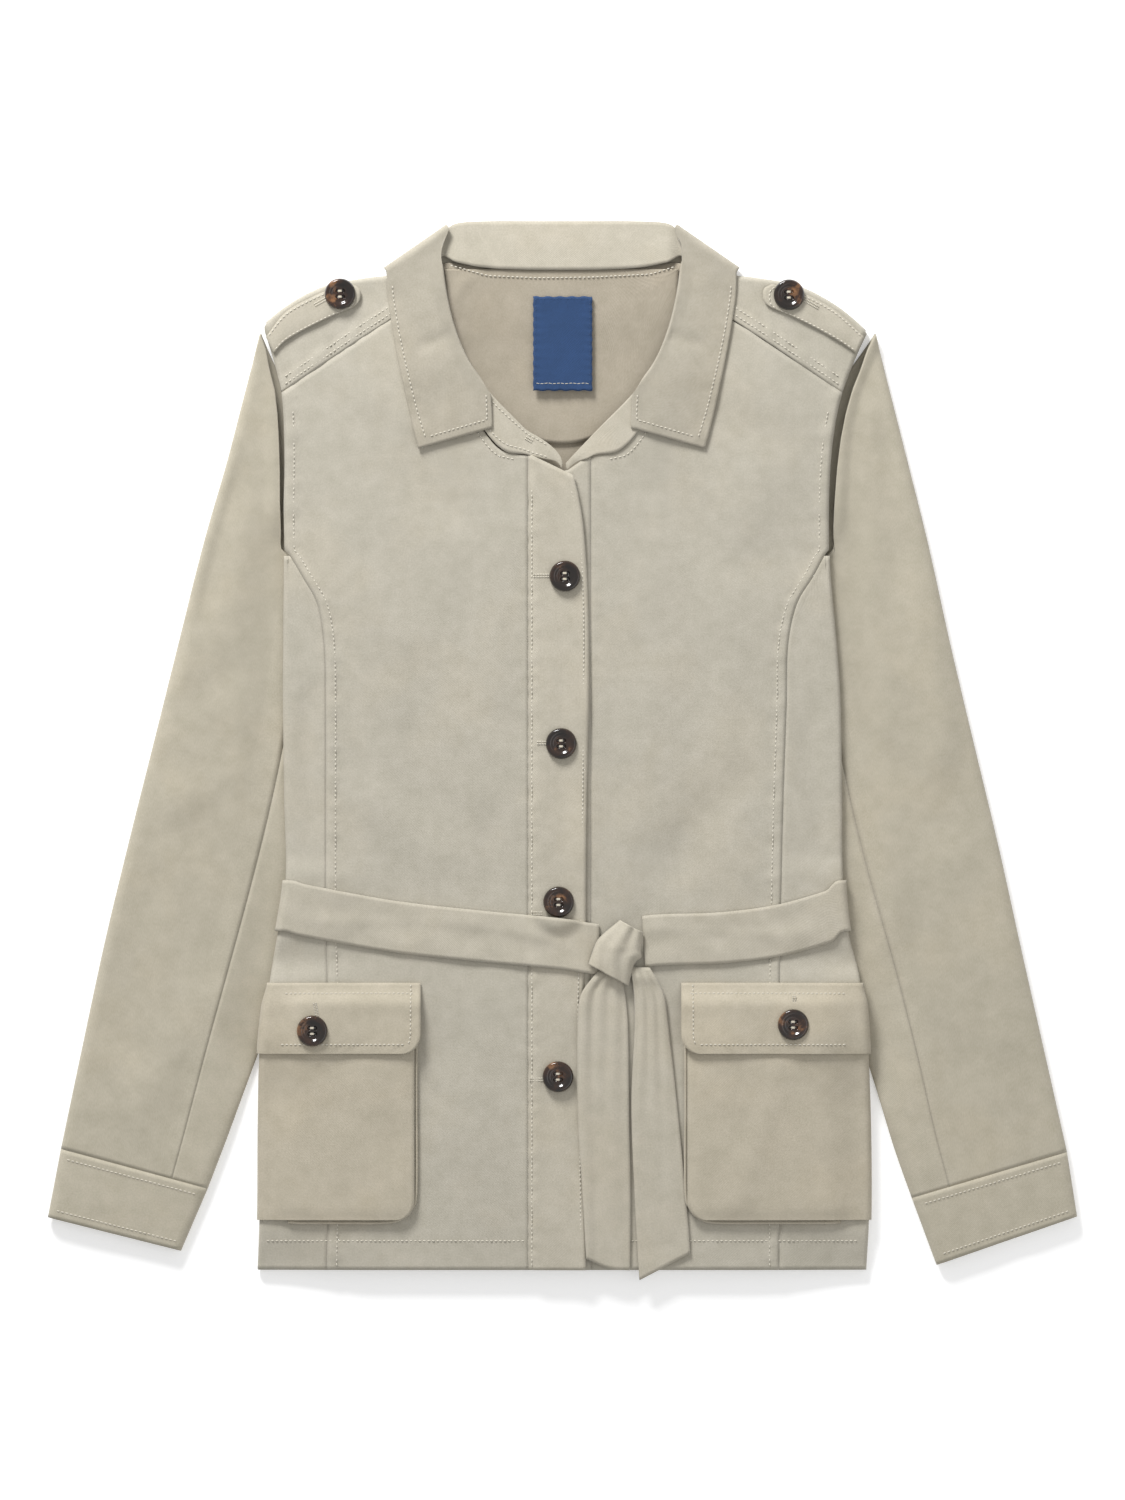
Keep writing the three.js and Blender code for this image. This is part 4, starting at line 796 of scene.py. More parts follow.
# Formula: a patch between the armhole, the cuff and both folds, raised by a rounded profile and the creases.
def sleevePoint(side, s, t, isFront):
    rows = sleeveRows[side]
    outer, inner = smoothLine(rows[:, :2], 120), smoothLine(rows[:, 2:], 120)
    head = sleeveHead(side) if isFront else sleeveHeadBack(side)
    s, t = np.broadcast_arrays(s, t)
    place = coons(head, [outer[-1], inner[-1]], outer, inner, t, s)
    x, y = place[..., 0], place[..., 1]
    fromEdge = np.minimum(t, 1 - t) * mix(150, 98, s)
    bend = np.sqrt(1 - np.clip(1 - fromEdge / sleeveCut["round"], 0, 1) ** 2)
    clear = np.abs(x) - edgeAt(side, np.minimum(y, 268))
    pressed = ease((34 - clear) / 26) * ease((y + 250) / 60) * (1 - 0.55 * ease((y - 120) / 40))
    full = mix(sleeveCut["height"] - cloth, sleeveCut["pressed"] - cloth, pressed)
    base = tableMid + full * (0.5 + (0.5 if isFront else -0.5) * bend)
    if not isFront:
        return np.stack([x, y, base], -1)
    soft = (1 - pressed) * ease(fromEdge / 10) * ease((clear - 9) / 10) * ease((1 - s) / 0.05)
    base = base + soft * (creaseField(sleeveCreases, x, y) + ripple(x * 1.2, y, 1.3))
    away = np.abs(x) - edgeAt(side, np.minimum(y, 272))
    seamZ = mix(base, body["armholeHeight"], ease((y - 134) / 26))
    near = ease((body["headStrip"] + 7 - away) / 8)
    return np.stack([x, y, np.maximum(base, mix(base, seamZ, near))], -1)


# Sleeves: the upper and the under piece lie on one surface and meet at its two seams.
def sleeves(side):
    seamFront, seamBack, nudge = sleeveCut["seamFront"], sleeveCut["seamBack"], 0.0002
    s = np.concatenate([np.linspace(0, 0.03, 8)[:-1], np.linspace(0.03, 1, 170)])[:, None]
    rim = np.linspace(0, 1, 9)[:-1] ** 1.6 * 0.05

    def build(front, back):
        faces = [sleevePoint(side, s, front[None], True), sleevePoint(side, s, back[None], False)]
        return np.concatenate(faces, axis=1)

    down = np.r_[rim, np.linspace(0.05, seamFront - nudge, 40)][::-1]
    backUp = np.r_[rim[1:], np.linspace(0.05, seamBack - nudge, 16)]
    addCloth(f"upper_sleeve_{side}", build(down, backUp), twillWarm)
    lower = np.r_[np.linspace(seamFront + nudge, 0.95, 14), 1 - rim[::-1]]
    backDown = np.r_[1 - rim[1:], np.linspace(0.95, seamBack + nudge, 9)]
    addCloth(f"under_sleeve_{side}", build(lower, backDown), twillWarm)


# Lower corners of the cuffs: outer, inner
cuffCorners = {"left": [[-333.2, -303.5], [-247.8, -325.0]], "right": [[334.2, -303.0], [244.0, -334.2]]}
cuffStitchRows = (14, 2)


# Cuff: a tube from the sleeve's end to the lower corners, with the sleeve's rounded profile.
def cuff(side):
    rows, corners = sleeveRows[side], np.array(cuffCorners[side])
    rim = np.linspace(0, 1, 9)[:-1] ** 1.6 * 0.07
    front = np.r_[rim, np.linspace(0.07, 0.93, 30), 1 - rim[::-1]]
    t = np.r_[front, front[-2:0:-1], 0.0005][None, :]
    isFront = (np.arange(t.size) < front.size)[None, :]
    v = np.linspace(0.003, 1, 17)[:, None]
    high = alongLine(np.array([rows[-1, :2], rows[-1, 2:]]), t[0])
    low = alongLine(corners, t[0])
    place = mix(high[None], low[None], v[..., None])
    fromEdge = np.minimum(t, 1 - t) * 98
    bend = np.sqrt(1 - np.clip(1 - fromEdge / sleeveCut["round"], 0, 1) ** 2)
    x, y = place[..., 0], place[..., 1]
    soft = ease(fromEdge / 10) * (0.8 * ripple(x * 1.3, y * 1.3) + pucker(45 * (1 - v) - 6, x, 0.2)
                                  + allowance(45 * v, 5, 0.5))
    z = tableMid + (sleeveCut["height"] - cloth) * np.where(isFront, 0.5 + 0.5 * bend, 0.5 - 0.5 * bend)
    grid = np.stack([x, y, z + np.where(isFront, soft, 0)], -1)
    addCloth(f"cuff_{side}", grid, twillWarm)
    n = front.size
    for row in cuffStitchRows:
        stitch(grid[row, 6:n - 6] + [0, 0, cloth / 2 + 0.08])


# Back neck: its facing and the woven label on it
facingCut = {"halfWidth": 76, "low": 199, "rise": 74, "stitchDown": 7}
# Back neck seam: distance from the middle, height
backNeckLine = np.array([[-76, 322], [-50, 315], [-16, 313.6], [19, 314], [60, 316], [77, 321]])
labelBox = {"left": -18.5, "right": 19.8, "low": 233.3, "high": 294.4}


# Facing: a panel with an arched lower edge inside the back, and the label sewn on it.
def backFacing():
    u, v = np.linspace(-1, 1, 60)[None, :], np.linspace(0, 1, 44)[:, None]
    x = facingCut["halfWidth"] * u + 0 * v
    low = facingCut["low"] + facingCut["rise"] * np.abs(u) ** 2.2
    y = mix(low, np.minimum(backTopAt(np.abs(x)), 313) - 0.6, v)
    soft = ease(v / 0.1) * ease((1 - v) / 0.15) * ease((1 - np.abs(u)) / 0.1)
    away = 58 + 0.62 * (313 - y) + x
    z = backHeight("left", np.abs(x), y) + layer + 0.3
    z = z + soft * (0.7 * ripple(x * 1.4, y * 1.2) + 0.9 * np.exp(-(away / 5) ** 2) * ease((y - 230) / 30))
    z = z + pucker(y - 254 - 0.0012 * x * x, x, 0.12) * soft
    # The facing takes the darkened inside cloth, whose colour is painted shade.
    addCloth("back_neck_facing", np.stack([x, y, z], -1), twillInside)
    stitchX = backNeckLine[:, 0] * 0.96
    xs = span(stitchX[0], stitchX[-1], 3)
    ys = np.interp(xs, stitchX, backNeckLine[:, 1]) - facingCut["stitchDown"]
    stitch(np.stack([xs, ys, backHeight("left", np.abs(xs), ys) + layer + 1.3], -1))
    u, v = np.linspace(0, 1, 26)[None, :], np.linspace(0, 1, 40)[:, None]
    x = mix(labelBox["left"], labelBox["right"], u) + 0 * v
    y = mix(labelBox["low"], labelBox["high"], v) + 0 * u
    rim = np.exp(-np.minimum(u, 1 - u) * 9) * np.sin(v * 74)
    rim = rim + np.exp(-np.minimum(v, 1 - v) * 14) * np.sin(u * 50)
    z = backHeight("left", 0, 290) + 2 * layer + 0.9 + 0.3 * rim + 0.3 * np.sin(3 * u + 5 * v)
    label = np.stack([x + 0.25 * np.sin(v * 60), y + 0.3 * np.sin(u * 31), z], -1)
    addCloth("neck_label", label, labelCloth, 1.0)
    for line in (label[1:-1, 1], label[1:-1, -2], label[-2, 1:-1]):
        stitch(line + [0, 0, 0.56], tone=2, size=1.2, pitch=2.2, thick=0.16)
    stitch(label[3, 1:-1] + [0, 0, 0.56], tone=0, size=2.6, pitch=2.7, thick=0.2)


# Collar from the front end to the middle of the back: neck x, y, z, then roll x, y, z
collarRows = np.array([
    [3.2, 182, 9.5, 2.6, 186, 9.5], [20, 194.2, 9.5, 22.4, 207, 9.5], [37.2, 197.6, 9.5, 45.8, 231, 9.4],
    [51.9, 213.8, 9.4, 60.2, 250, 9.2], [64.4, 239.3, 9.2, 69, 270, 8.8], [74.6, 268.2, 8.8, 74.5, 290, 8.2],
    [80.9, 296, 8, 77.5, 308, 7.2], [83.4, 311, 6, 78, 321, 5.6], [79, 320.6, 3.6, 76.2, 334, 3.6],
    [67, 318, 2.6, 71, 341, 2.6], [50, 314.9, 2.3, 58, 343.2, 2.3], [25, 313.6, 2.3, 29, 343.4, 2.3],
    [0, 313.4, 2.3, 0, 343.4, 2.3]])


# Stand: a ruled strip from the neck line to the roll, mirrored, its left end at the middle.
def collarStand():
    line = smoothLine(collarRows, 150)[:, None, :]
    u = np.linspace(0, 1, 14)[None, :, None]
    right = mix(line[..., :3], line[..., 3:], u)
    right[..., 2] += 0.5 * np.sin(math.pi * u[..., 0]) * ripple(right[..., 0] * 2, right[..., 1] * 1.5, 1.2)
    sewn = ease((right[..., 0] - 8) / 10) * ease((80 - right[..., 0]) / 12) * (1 - u[..., 0])
    sewn = sewn * ease((292 - right[..., 1]) / 20)
    right[..., 1] -= 3.4 * sewn
    right[..., 2] += 1.3 * sewn
    behind = ease((right[..., 1] - 305) / 5) * ease((77 - right[..., 0]) / 9) * (1 - u[..., 0])
    right[..., 1] -= 1.6 * behind
    right[..., 2] += 3.4 * behind
    left = right * [-1, 1, 1]
    lead = np.clip(1 - np.arange(150) / 12.5, 0, 1)[:, None]
    left[..., 0] = mix(left[..., 0], 0.2 - 0.02 * np.arange(150)[:, None], lead)
    left[..., 1] += 0.5 * lead
    off = -0.9 * (left[..., 0] + 63.4) - 0.44 * (left[..., 1] - 344.5)
    onBack = ease((left[..., 1] - 312) / 6)
    left[..., 2] += 0.8 * onBack * (np.exp(-((off / 3) ** 2)) - np.exp(-(((off + 5.5) / 3) ** 2)))
    grid = np.concatenate([left, right[-2::-1]])
    addCloth("collar_stand", grid, twillPale)
    normal = gridNormals(grid)
    outside = grid + normal * np.sign(normal[..., 2:]) * (cloth / 2 + 0.1)
    for across in (2, 11):
        stitch(outside[8:92, across])


# Collar leaf on the front: its roll, outer edge and front end; then its edge and roll behind the neck
leafTurnRadius = 3.0                # of the turn over the shoulder
leafRoll = [[45.8, 230.5], [60.2, 250], [69, 270], [74.5, 290], [77.5, 308], [78, 324], [73, 338.5]]
leafEdge = [[93, 195.5], [99, 219], [103.5, 240], [108, 262], [111, 280], [113.2, 296], [113.6, 310.5]]
leafFront = [[45.8, 230.5], [44.8, 209], [93, 195.5]]
leafBackEdge = [[113.6, 310.5], [104, 301.5], [79, 297.8], [40, 296.8], [0, 296.4]]
leafBackRoll = [[73, 338.5], [66, 342.6], [45, 343.6], [22, 343.6], [0, 343.6]]


# Leaf: a patch on the front, a half turn at the shoulder, a patch behind the neck, mirrored.
def collarLeaf():
    diagonal = np.array([leafRoll[-1], leafEdge[-1]], float)
    outward = np.array([diagonal[0, 1] - diagonal[1, 1], diagonal[1, 0] - diagonal[0, 0]])
    outward /= np.hypot(*outward)
    r = leafTurnRadius
    highZ = tableMid + 2 * r + 0.9
    s = np.linspace(0, 1, 34)[None, :]
    roll, edge = smoothLine(leafRoll, 70), smoothLine(leafEdge, 70)
    t = np.linspace(0, 1, 62)[:, None] + 0 * s
    place = coons(leafFront, diagonal, roll, edge, s + 0 * t, t)
    x, y = place[..., 0], place[..., 1]
    held = np.minimum(y, shoulderAt(np.maximum(84, x)) - body["shoulderFold"])
    onFront = frontHeight("right", x, held)
    standZ = alongLine(collarRows[2:8, 3:], t[:, 0])[:, 2][:, None]
    over = mix(np.maximum(standZ, onFront), onFront, s) + layer + 0.25
    fromEdge = (1 - s) * 45
    crease = 0.9 * np.exp(-((y - 268 + 0.35 * (x - 75)) / 5) ** 2) * ease((x - 62) / 10) * ease((98 - x) / 12)
    soft = ease(s / 0.15) * ease((1 - t) / 0.2)
    rise = soft * (0.5 * ripple(x * 1.7, y * 1.3) - crease) + 0.9 * np.sin(math.pi * s) ** 2 * (1 - 0.5 * t)
    rise = rise + pucker(fromEdge - 4.2, y, 0.14) * ease((1 - t) / 0.1) + pucker(75 * t - 3.7, x, 0.2)
    top = np.stack([x, y, mix(over, highZ, ease((t - 0.7) / 0.3)) + rise], -1)
    line = alongLine(diagonal, s[0])
    angle = np.linspace(0, 1, 10)[1:, None] * math.pi
    foldX = line[None, :, 0] + outward[0] * r * np.sin(angle)
    foldY = line[None, :, 1] + outward[1] * r * np.sin(angle)
    foldZ = mix(tableMid, highZ, 0.5 + 0.5 * np.cos(angle)) + 0 * s
    fold = np.stack([foldX, foldY, foldZ], -1)
    t2 = np.linspace(0, 1, 30)[1:, None] + 0 * s
    place = coons(diagonal, [leafBackRoll[4], leafBackEdge[4]], smoothLine(leafBackRoll, 50),
                  smoothLine(leafBackEdge, 50), s + 0 * t2, t2)
    flat = np.concatenate([place, np.full((*place.shape[:2], 1), tableMid)], axis=-1)
    half = np.concatenate([top, fold, flat])
    # The rolled edge: a quarter turn down from the leaf's inner edge toward the stand.
    toward = half[:, :1, :2] - half[:, 1:2, :2]
    toward /= np.maximum(np.linalg.norm(toward, axis=-1, keepdims=True), 1e-6)
    fade = ease((np.arange(len(half)) - 1) / 8) * ease((52 - np.arange(len(half))) / 10)
    turnBy = np.linspace(1.45, 0, 6)[None, :-1, None] * fade[:, None, None]
    stepIn = 0.02 * np.arange(5, 0, -1)[:, None]
    turned = np.concatenate([half[:, :1, :2] + toward * (1.5 * np.sin(turnBy) + stepIn),
                             half[:, :1, 2:] - 1.5 * (1 - np.cos(turnBy))], axis=-1)
    half = np.concatenate([turned, half], axis=1)
    mirrored = half * [-1, 1, 1]
    addCloth("collar_leaf", np.concatenate([mirrored, half[-2::-1]]), twillLeaf)
    lift = [0, 0, cloth / 2 + 0.1]
    for flip in (-1, 1):
        for line in (half[3:56, -4], half[3, 7:-4]):
            stitch(line * [flip, 1, 1] + lift)


# Epaulette: both corners of its end, counted from the armhole, then its lower edge, upper edge and tip
epauletteCut = {
    "endY": 262, "end": [[-2, 257.5], [3, 268]],
    "lower": [[178, 266.5], [155, 279], [137, 287]],
    "upper": [[180, 283.5], [165, 292.6], [150, 299], [136.5, 302.4]],
    "tip": [[137, 287], [131.5, 291], [131, 299], [136.5, 302.4]],
}


# Formula: a patch between the four edges, a layer above the front, slightly crowned.
def epaulette(side):
    outer = float(edgeAt(side, epauletteCut["endY"])) - 0.8
    end = np.array(epauletteCut["end"]) + [outer, 0]
    lower = smoothLine([end[0], *epauletteCut["lower"]])
    upper = smoothLine([end[1], *epauletteCut["upper"]])
    tip = smoothLine(epauletteCut["tip"])
    u, v = np.meshgrid(np.linspace(0, 1, 34), np.linspace(0, 1, 13))
    place = coons(lower, upper, end, tip, u, v)
    x, y = place[..., 0], place[..., 1]
    z = frontHeight(side, x, np.minimum(y, shoulderAt(x) - 1)) + layer + 0.25
    z = z + 0.5 * np.sin(math.pi * v) + 0.7 * np.sin(math.pi * u) * np.sin(2.4 * u * math.pi) ** 2 * 0.6
    grid = np.stack([signOf[side] * x, y, z], -1)
    addCloth(f"epaulette_{side}", grid, twillPale)
    for line in (grid[1, 1:-3], grid[-2, 1:-3], grid[1:-1, -3]):
        stitch(line + [0, 0, cloth / 2 + 0.08])


# Pockets: distance of the inner edge from the middle, heights, and what wraps round the side fold
pocketCut = {"top": -151.0, "flapBottom": -197.0, "bottom": -305.0, "wrap": 30.0, "left": 95.5, "right": 81.5,
             "rise": 3.8, "corner": 12.0}


# Formula: one layer at the inner edge, eased up by the bellows' rise at the side fold.
def pocketStand(side, w, y):
    return mix(layer, layer + pocketCut["rise"], ease((edgeAt(side, y) - body["foldRadius"] - w) / 26))


# Formula: columns across the flat face, round the side fold and a short way under.
def wrapColumns(side, y, inner, count):
    start = edgeAt(side, y) - body["foldRadius"]
    flat = mix(inner, start, np.linspace(0, 1, count)[None, :])
    fold = start + np.linspace(0, 1, 9)[None, 1:] * turn
    under = start + turn + np.linspace(0, 1, 8)[None, 1:] * (pocketCut["wrap"] - 6)
    return np.concatenate([flat, fold, under], axis=1)


# Formula: how far a quarter-circle corner draws the edge in at a height.
def roundIn(y, low):
    r = pocketCut["corner"]
    return r - np.sqrt(r * r - np.clip(r - (y - low), 0, r) ** 2)


# Pocket: its bag, its flap with a waved lower edge, and the gusset's profile carried round them.
def pocket(side):
    inner, low = pocketCut[side], pocketCut["bottom"]
    y = np.r_[low + np.linspace(0, 1, 8)[:-1] ** 2 * 12, span(low + 12, -173, 2.6)][:, None]
    w = wrapColumns(side, y, inner + roundIn(y, low), 40)
    onFace = ease((edgeAt(side, y) - w - 4) / 12)
    cut = onFace * ease((w - inner) / 14) * ease((y - low) / 14)
    ridge = np.exp(-((w - inner - 50 - 0.3 * (y + 240)) / 9) ** 2)
    rise = cut * (0.9 * ripple(w * 1.3 + 40, y * 1.1) + 0.6 * ridge)
    rise = rise - 0.9 * onFace * ease((8 - np.minimum(w - inner - roundIn(y, low), y - low)) / 8)
    addCloth(f"pocket_bag_{side}", bodyPoint(side, w, y, pocketStand(side, w, y) + rise), twillPocket)
    low = pocketCut["flapBottom"]
    y = np.r_[low + np.linspace(0, 1, 8)[:-1] ** 2 * 12, span(low + 12, pocketCut["top"], 2.2)][:, None]
    start = inner - 4 + roundIn(y, low)
    w = wrapColumns(side, y, start, 46)
    onFace = ease((edgeAt(side, y) - w - 4) / 12)
    hang = ease((pocketCut["top"] - 1 - y) / 14)
    stand = mix(layer, pocketStand(side, w, y) + layer + 0.1, hang)
    waves = 0.5 * ease((low + 26 - y) / 20) * (1 + np.sin(w / 11 + 1.5 * np.sin(w / 27)))
    below = np.minimum(w - start, y - low)
    soft = waves + 0.5 * ripple(w * 1.4, y * 1.4) * hang + pucker(below - stitchAway["flap"], w + y, 0.2)
    rise = onFace * (soft + allowance(pocketCut["top"] - y, 7, 0.3))
    flap = bodyPoint(side, w, y, stand + rise)
    addCloth(f"pocket_flap_{side}", flap, twillPocket)
    lift = [0, 0, cloth / 2 + 0.1]
    bottomRow = int(np.argmin(np.abs(y[:, 0] - low - stitchAway["flap"])))
    topRow = int(np.argmin(np.abs(y[:, 0] - pocketCut["top"] + 6)))
    stitch(flap[bottomRow, 4:43] + lift)
    stitch(flap[topRow, 2:43] + lift)
    stitch(flap[bottomRow:, 3] + lift)
    x0 = inner
    path = np.array([[x0 + 1, -175], [x0 + 1, -225], [x0 + 1, -285], [x0 + 4, -296], [x0 + 10, -302.5],
                     [x0 + 22, -304.5], [x0 + 50, -304.5], [float(edgeAt(side, -300)) - 18, -304.5]])
    path = smoothLine(path, 90)
    run = np.gradient(path, axis=0)
    run /= np.linalg.norm(run, axis=1, keepdims=True)
    out = np.stack([run[:, 1], -run[:, 0]], -1)[:, None]
    profile = np.array([[-3.6, layer], [-2, layer], [-0.4, layer], [0.6, 1.9], [1.6, 2.4], [2.6, 3.6]])
    place = path[:, None] + profile[None, :, :1] * out
    w, py = place[..., 0], place[..., 1]
    d = np.maximum(layer, np.minimum(profile[None, :, 1], pocketStand(side, w, py) - layer))
    addCloth(f"pocket_gusset_{side}", bodyPoint(side, w, py, d), twillPocket)


# Belt: height at the side fold, width, and how far it stands off the body; then its middle line
belted = {"sideY": -101.0, "width": 33.0, "away": layer + 0.4, "overButton": 3.6, "bumpRadius": 19}
beltRows = np.array([[-184, -100.4], [-144, -108.2], [-105, -114.8], [-53, -120.6], [-1, -125.5],
                     [30, -129.5],
                     [55, -123.8], [103, -121.7], [142, -116.3], [186, -103.6]])


# Formula: a point of the belt at a distance along the body, with v across the band.
def beltPoint(side, w, v, rise):
    start = edgeAt(side, belted["sideY"]) - body["foldRadius"]
    sign = signOf[side]
    onTop = w < start
    settle = ease((w - start + 9) / 9)
    mid = mix(column(beltRows, 0, 1, sign * np.minimum(w, start)), belted["sideY"], settle)
    y = mid + belted["width"] * (v - 0.5)
    bx, by = buttonPlaces["front_3"]
    fromButton = np.hypot(sign * w - bx, y - by + 4)
    lift = belted["overButton"] * ease((belted["bumpRadius"] - fromButton) / 9)
    own = edgeAt(side, y) - body["foldRadius"]
    along = np.where(onTop, w * own / start, w - start + own)
    return bodyPoint(side, along, y, belted["away"] + np.where(onTop, lift + rise, 0), True)


# Belt: a band round the front, both side folds and the back, with soft waves along the front.
def belt():
    v = np.linspace(0, 1, 16)[None, :]
    parts = []
    for side, first in (("right", 52.0), ("left", 0.0)):
        start = float(edgeAt(side, belted["sideY"])) - body["foldRadius"]
        w = np.r_[span(first, start, 2.4), start + np.linspace(0, 1, 9)[1:] * turn,
                  start + turn + span(0, start, 5)[1:]][:, None]
        calm = ease((start - w) / 20)
        wave = 0.35 * np.sin(v * 9 + w / 19 + np.sin(w / 7.0)) * np.sin(w / 13)
        ridge = 0.3 * np.exp(-((v - 0.5 - 0.2 * np.sin(w / 40)) / 0.1) ** 2)
        rise = calm * (wave + 0.4 * ripple(w * 2, v * 60) + ridge)
        parts.append(beltPoint(side, w, v, rise))
    lead = beltPoint("right", span(1, 24, 2.4)[:, None], v, 0)
    left = parts[1][:-1]
    addCloth("belt_band", np.concatenate([parts[0], left[::-1], lead]), twillPale)


# Belt tails: height, left edge, right edge
tailRows = {
    "left": np.array([[-143, 24, 38], [-158, 12.9, 41], [-178, 10.5, 42.9], [-241, 10.7, 43.6],
                      [-290, 13.6, 44.6],
                      [-330, 15.8, 44.3]]),
    "right": np.array([[-141, 44.5, 57], [-158, 47, 66], [-178, 47.4, 69], [-228, 45.2, 74.6],
                       [-290, 47.4, 80.4],
                       [-334, 50.4, 83.4]]),
}
tailTips = {
    "left": [[15.8, -330], [30, -336.4], [44.3, -337.6]],
    "right": [[50.4, -344], [62, -338], [83.4, -326.5]],
}


# Tails: strips between their two edges, folded near the knot and softly curled below.
def beltTails():
    for side in ("left", "right"):
        rows = tailRows[side]
        top, low = rows[0, 0], rows[-1, 0]
        v, u = np.linspace(0, 1, 76)[:, None], np.linspace(0, 1, 18)[None, :]
        y = mix(top, low, v) + 0 * u
        x = mix(column(rows, 0, 1, y), column(rows, 0, 2, y), u)
        tip = alongLine(smoothLine(tailTips[side]), u[0])[:, 1][None, :]
        py = y + (tip - low) * ease((v - 0.7) / 0.3)
        held = np.maximum(py, body["hemY"])
        phase = 0.0 if side == "left" else 2.0
        folds = (1 - v) ** 2 * 1.6 * np.sin(u * 10 + 2 * v + phase) ** 2
        curl = 1.1 * np.sin(math.pi * u) * (0.4 + 0.6 * np.sin(3 * v + phase)) + 0.3 * ripple(x * 2.2, py)
        overBelt = 1.5 * ease((y + 153) / 7)
        soft = (np.abs(folds) + np.maximum(curl, -0.2)) * ease((-141 - y) / 9)
        z = frontTop(x, held) + layer + 0.5 + overBelt + soft
        addCloth(f"belt_tail_{side}", np.stack([x, py, z], -1), twillPale)


# Knot: its left and right sides from the bottom up, how high it arches, and its folds
knotCut = {
    "left": [[17.9, -139.1], [21.6, -128.2], [25.5, -121.5], [38.2, -110.7]],
    "right": [[42.8, -152.8], [46.5, -138.9], [51, -134.2], [50.8, -130.3], [52, -118]],
    "stand": 1.8, "arch": 5.6, "folds": 0.8,
}


# Formula: a patch between its sides, arched across its width, with slanting folds.
def beltKnot():
    leftSide, rightSide = smoothLine(knotCut["left"]), smoothLine(knotCut["right"])
    v, u = np.meshgrid(np.linspace(0, 1, 40), np.linspace(0, 1, 44), indexing="ij")
    low, high = np.array([leftSide[0], rightSide[0]]), np.array([leftSide[-1], rightSide[-1]])
    place = coons(low, high, leftSide, rightSide, u, v)
    x, y = place[..., 0], place[..., 1]
    arch = (1 - np.abs(2 * u - 1) ** 3) ** 0.6
    folds = np.sin((u + 0.25 * v) * 13 + 0.8 * np.sin(v * 4)) * knotCut["folds"] * np.sin(math.pi * u) ** 0.5
    rise = knotCut["arch"] * arch * (0.8 + 0.2 * np.sin(math.pi * v))
    z = frontTop(x, y) + belted["away"] + knotCut["stand"] + rise + folds
    addCloth("belt_knot", np.stack([x, y, z], -1), twillPale, 1.6)


buttonCut = {"radius": 10.0, "thickness": 3.6, "hole": 1.1, "holeAway": 1.9, "flat": 8.2, "dish": 7.2,
             "dishDepth": 1.1, "threads": 3, "threadPitch": 0.42}
buttonPlaces = {
    "front_1": (2.1, 112.8), "front_2": (-0.3, 4.2), "front_3": (-2.0, -98.6), "front_4": (-2.4, -211.9),
    "epaulette_left": (-143.8, 296.0), "epaulette_right": (147.5, 295.4),
    "pocket_left": (-161.6, -182.0), "pocket_right": (150.0, -178.0),
}


# Buttons: a turned disc with a rim and a dish; the four holes are deep dips in its face.
def button(key):
    x0, y0 = buttonPlaces[key]
    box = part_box(f"button_{key}")
    low = box[0][2] / mm
    flat, hole = buttonCut["flat"], buttonCut["holeAway"]
    r = np.r_[np.linspace(0, flat, 34), flat + np.linspace(0, 1, 9)[1:] * 1.8][:, None]
    angle = np.linspace(0, 2 * math.pi, 65)[None, :-1]
    x, y = r * np.cos(angle), r * np.sin(angle)
    thick, rad = buttonCut["thickness"], buttonCut["radius"]
    dish = buttonCut["dishDepth"] * ease((buttonCut["dish"] - r) / 2.2)
    z = thick - dish - 1.5 * np.clip((r - 8.6) / 1.4, 0, 1) ** 2 + 0 * angle
    for hx, hy in ((hole, hole), (-hole, hole), (hole, -hole), (-hole, -hole)):
        away = np.hypot(x - hx, y - hy)
        z = z - 1.5 * ease((buttonCut["hole"] + 0.25 - away) / 0.5)
    rings = [np.stack([x, y, z], -1)]
    for ringR, ringZ in ((rad, 1.1), (rad - 0.5, 0.3), (rad - 1.6, 0.0), (0.01, 0.0)):
        rings.append(np.stack([ringR * np.cos(angle), ringR * np.sin(angle), ringZ + 0 * angle], -1))
    grid = np.concatenate(rings)
    rows, cols = grid.shape[:2]
    a = np.arange(rows - 1)[:, None] * cols + np.arange(cols)[None, :]
    b = np.arange(rows - 1)[:, None] * cols + (np.arange(cols)[None, :] + 1) % cols
    quads = np.stack([a, a + cols, b + cols, b], -1).reshape(-1, 4)
    grid[0] += [0.01, 0, 0] * np.cos(angle)[0][:, None]
    points = grid.reshape(-1, 3) + [x0, y0, low]
    if turnOf(grid.reshape(-1, 3), quads) < 0:
        quads = quads[:, ::-1]
    obj = newMesh(f"button{key.title().replace('_', '')}", points, quads)
    obj.data.materials.append(horn)
    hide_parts(f"button_{key}")
    for shift in (-hole, hole):
        for k in range(buttonCut["threads"]):
            across = shift + (k - 1) * buttonCut["threadPitch"]
            arc = np.linspace(-1, 1, 7)
            line = np.stack([arc * 2.1, across + 0 * arc, thick - 0.75 - 0.9 * arc**4 + 0 * arc], -1)
            stitch(line + [x0, y0, low], tone=1, size=3.4, pitch=9, thick=0.26)


# Buttonholes: the piece, then x, y, x, y of the two ends
buttonholes = [
    ("placket_over", -19, 113.1, -7.5, 113.1), ("placket_over", -16.6, 4.6, -9.5, 4.6),
    ("placket_over", -20.4, -106, -12.6, -106), ("placket_over", -21.5, -213.8, -11.4, -213.8),
    ("pocket_flap_left", -160.2, -163.2, -158.3, -172.9), ("pocket_flap_right", 150.5, -158.6, 151.1, -168),
    ("epaulette_left", -160.9, 288.6, -152.4, 293.2), ("epaulette_right", 157, 292.3, 166.7, 287),
    ("collar_stand", -24, 203, -19, 200),
]


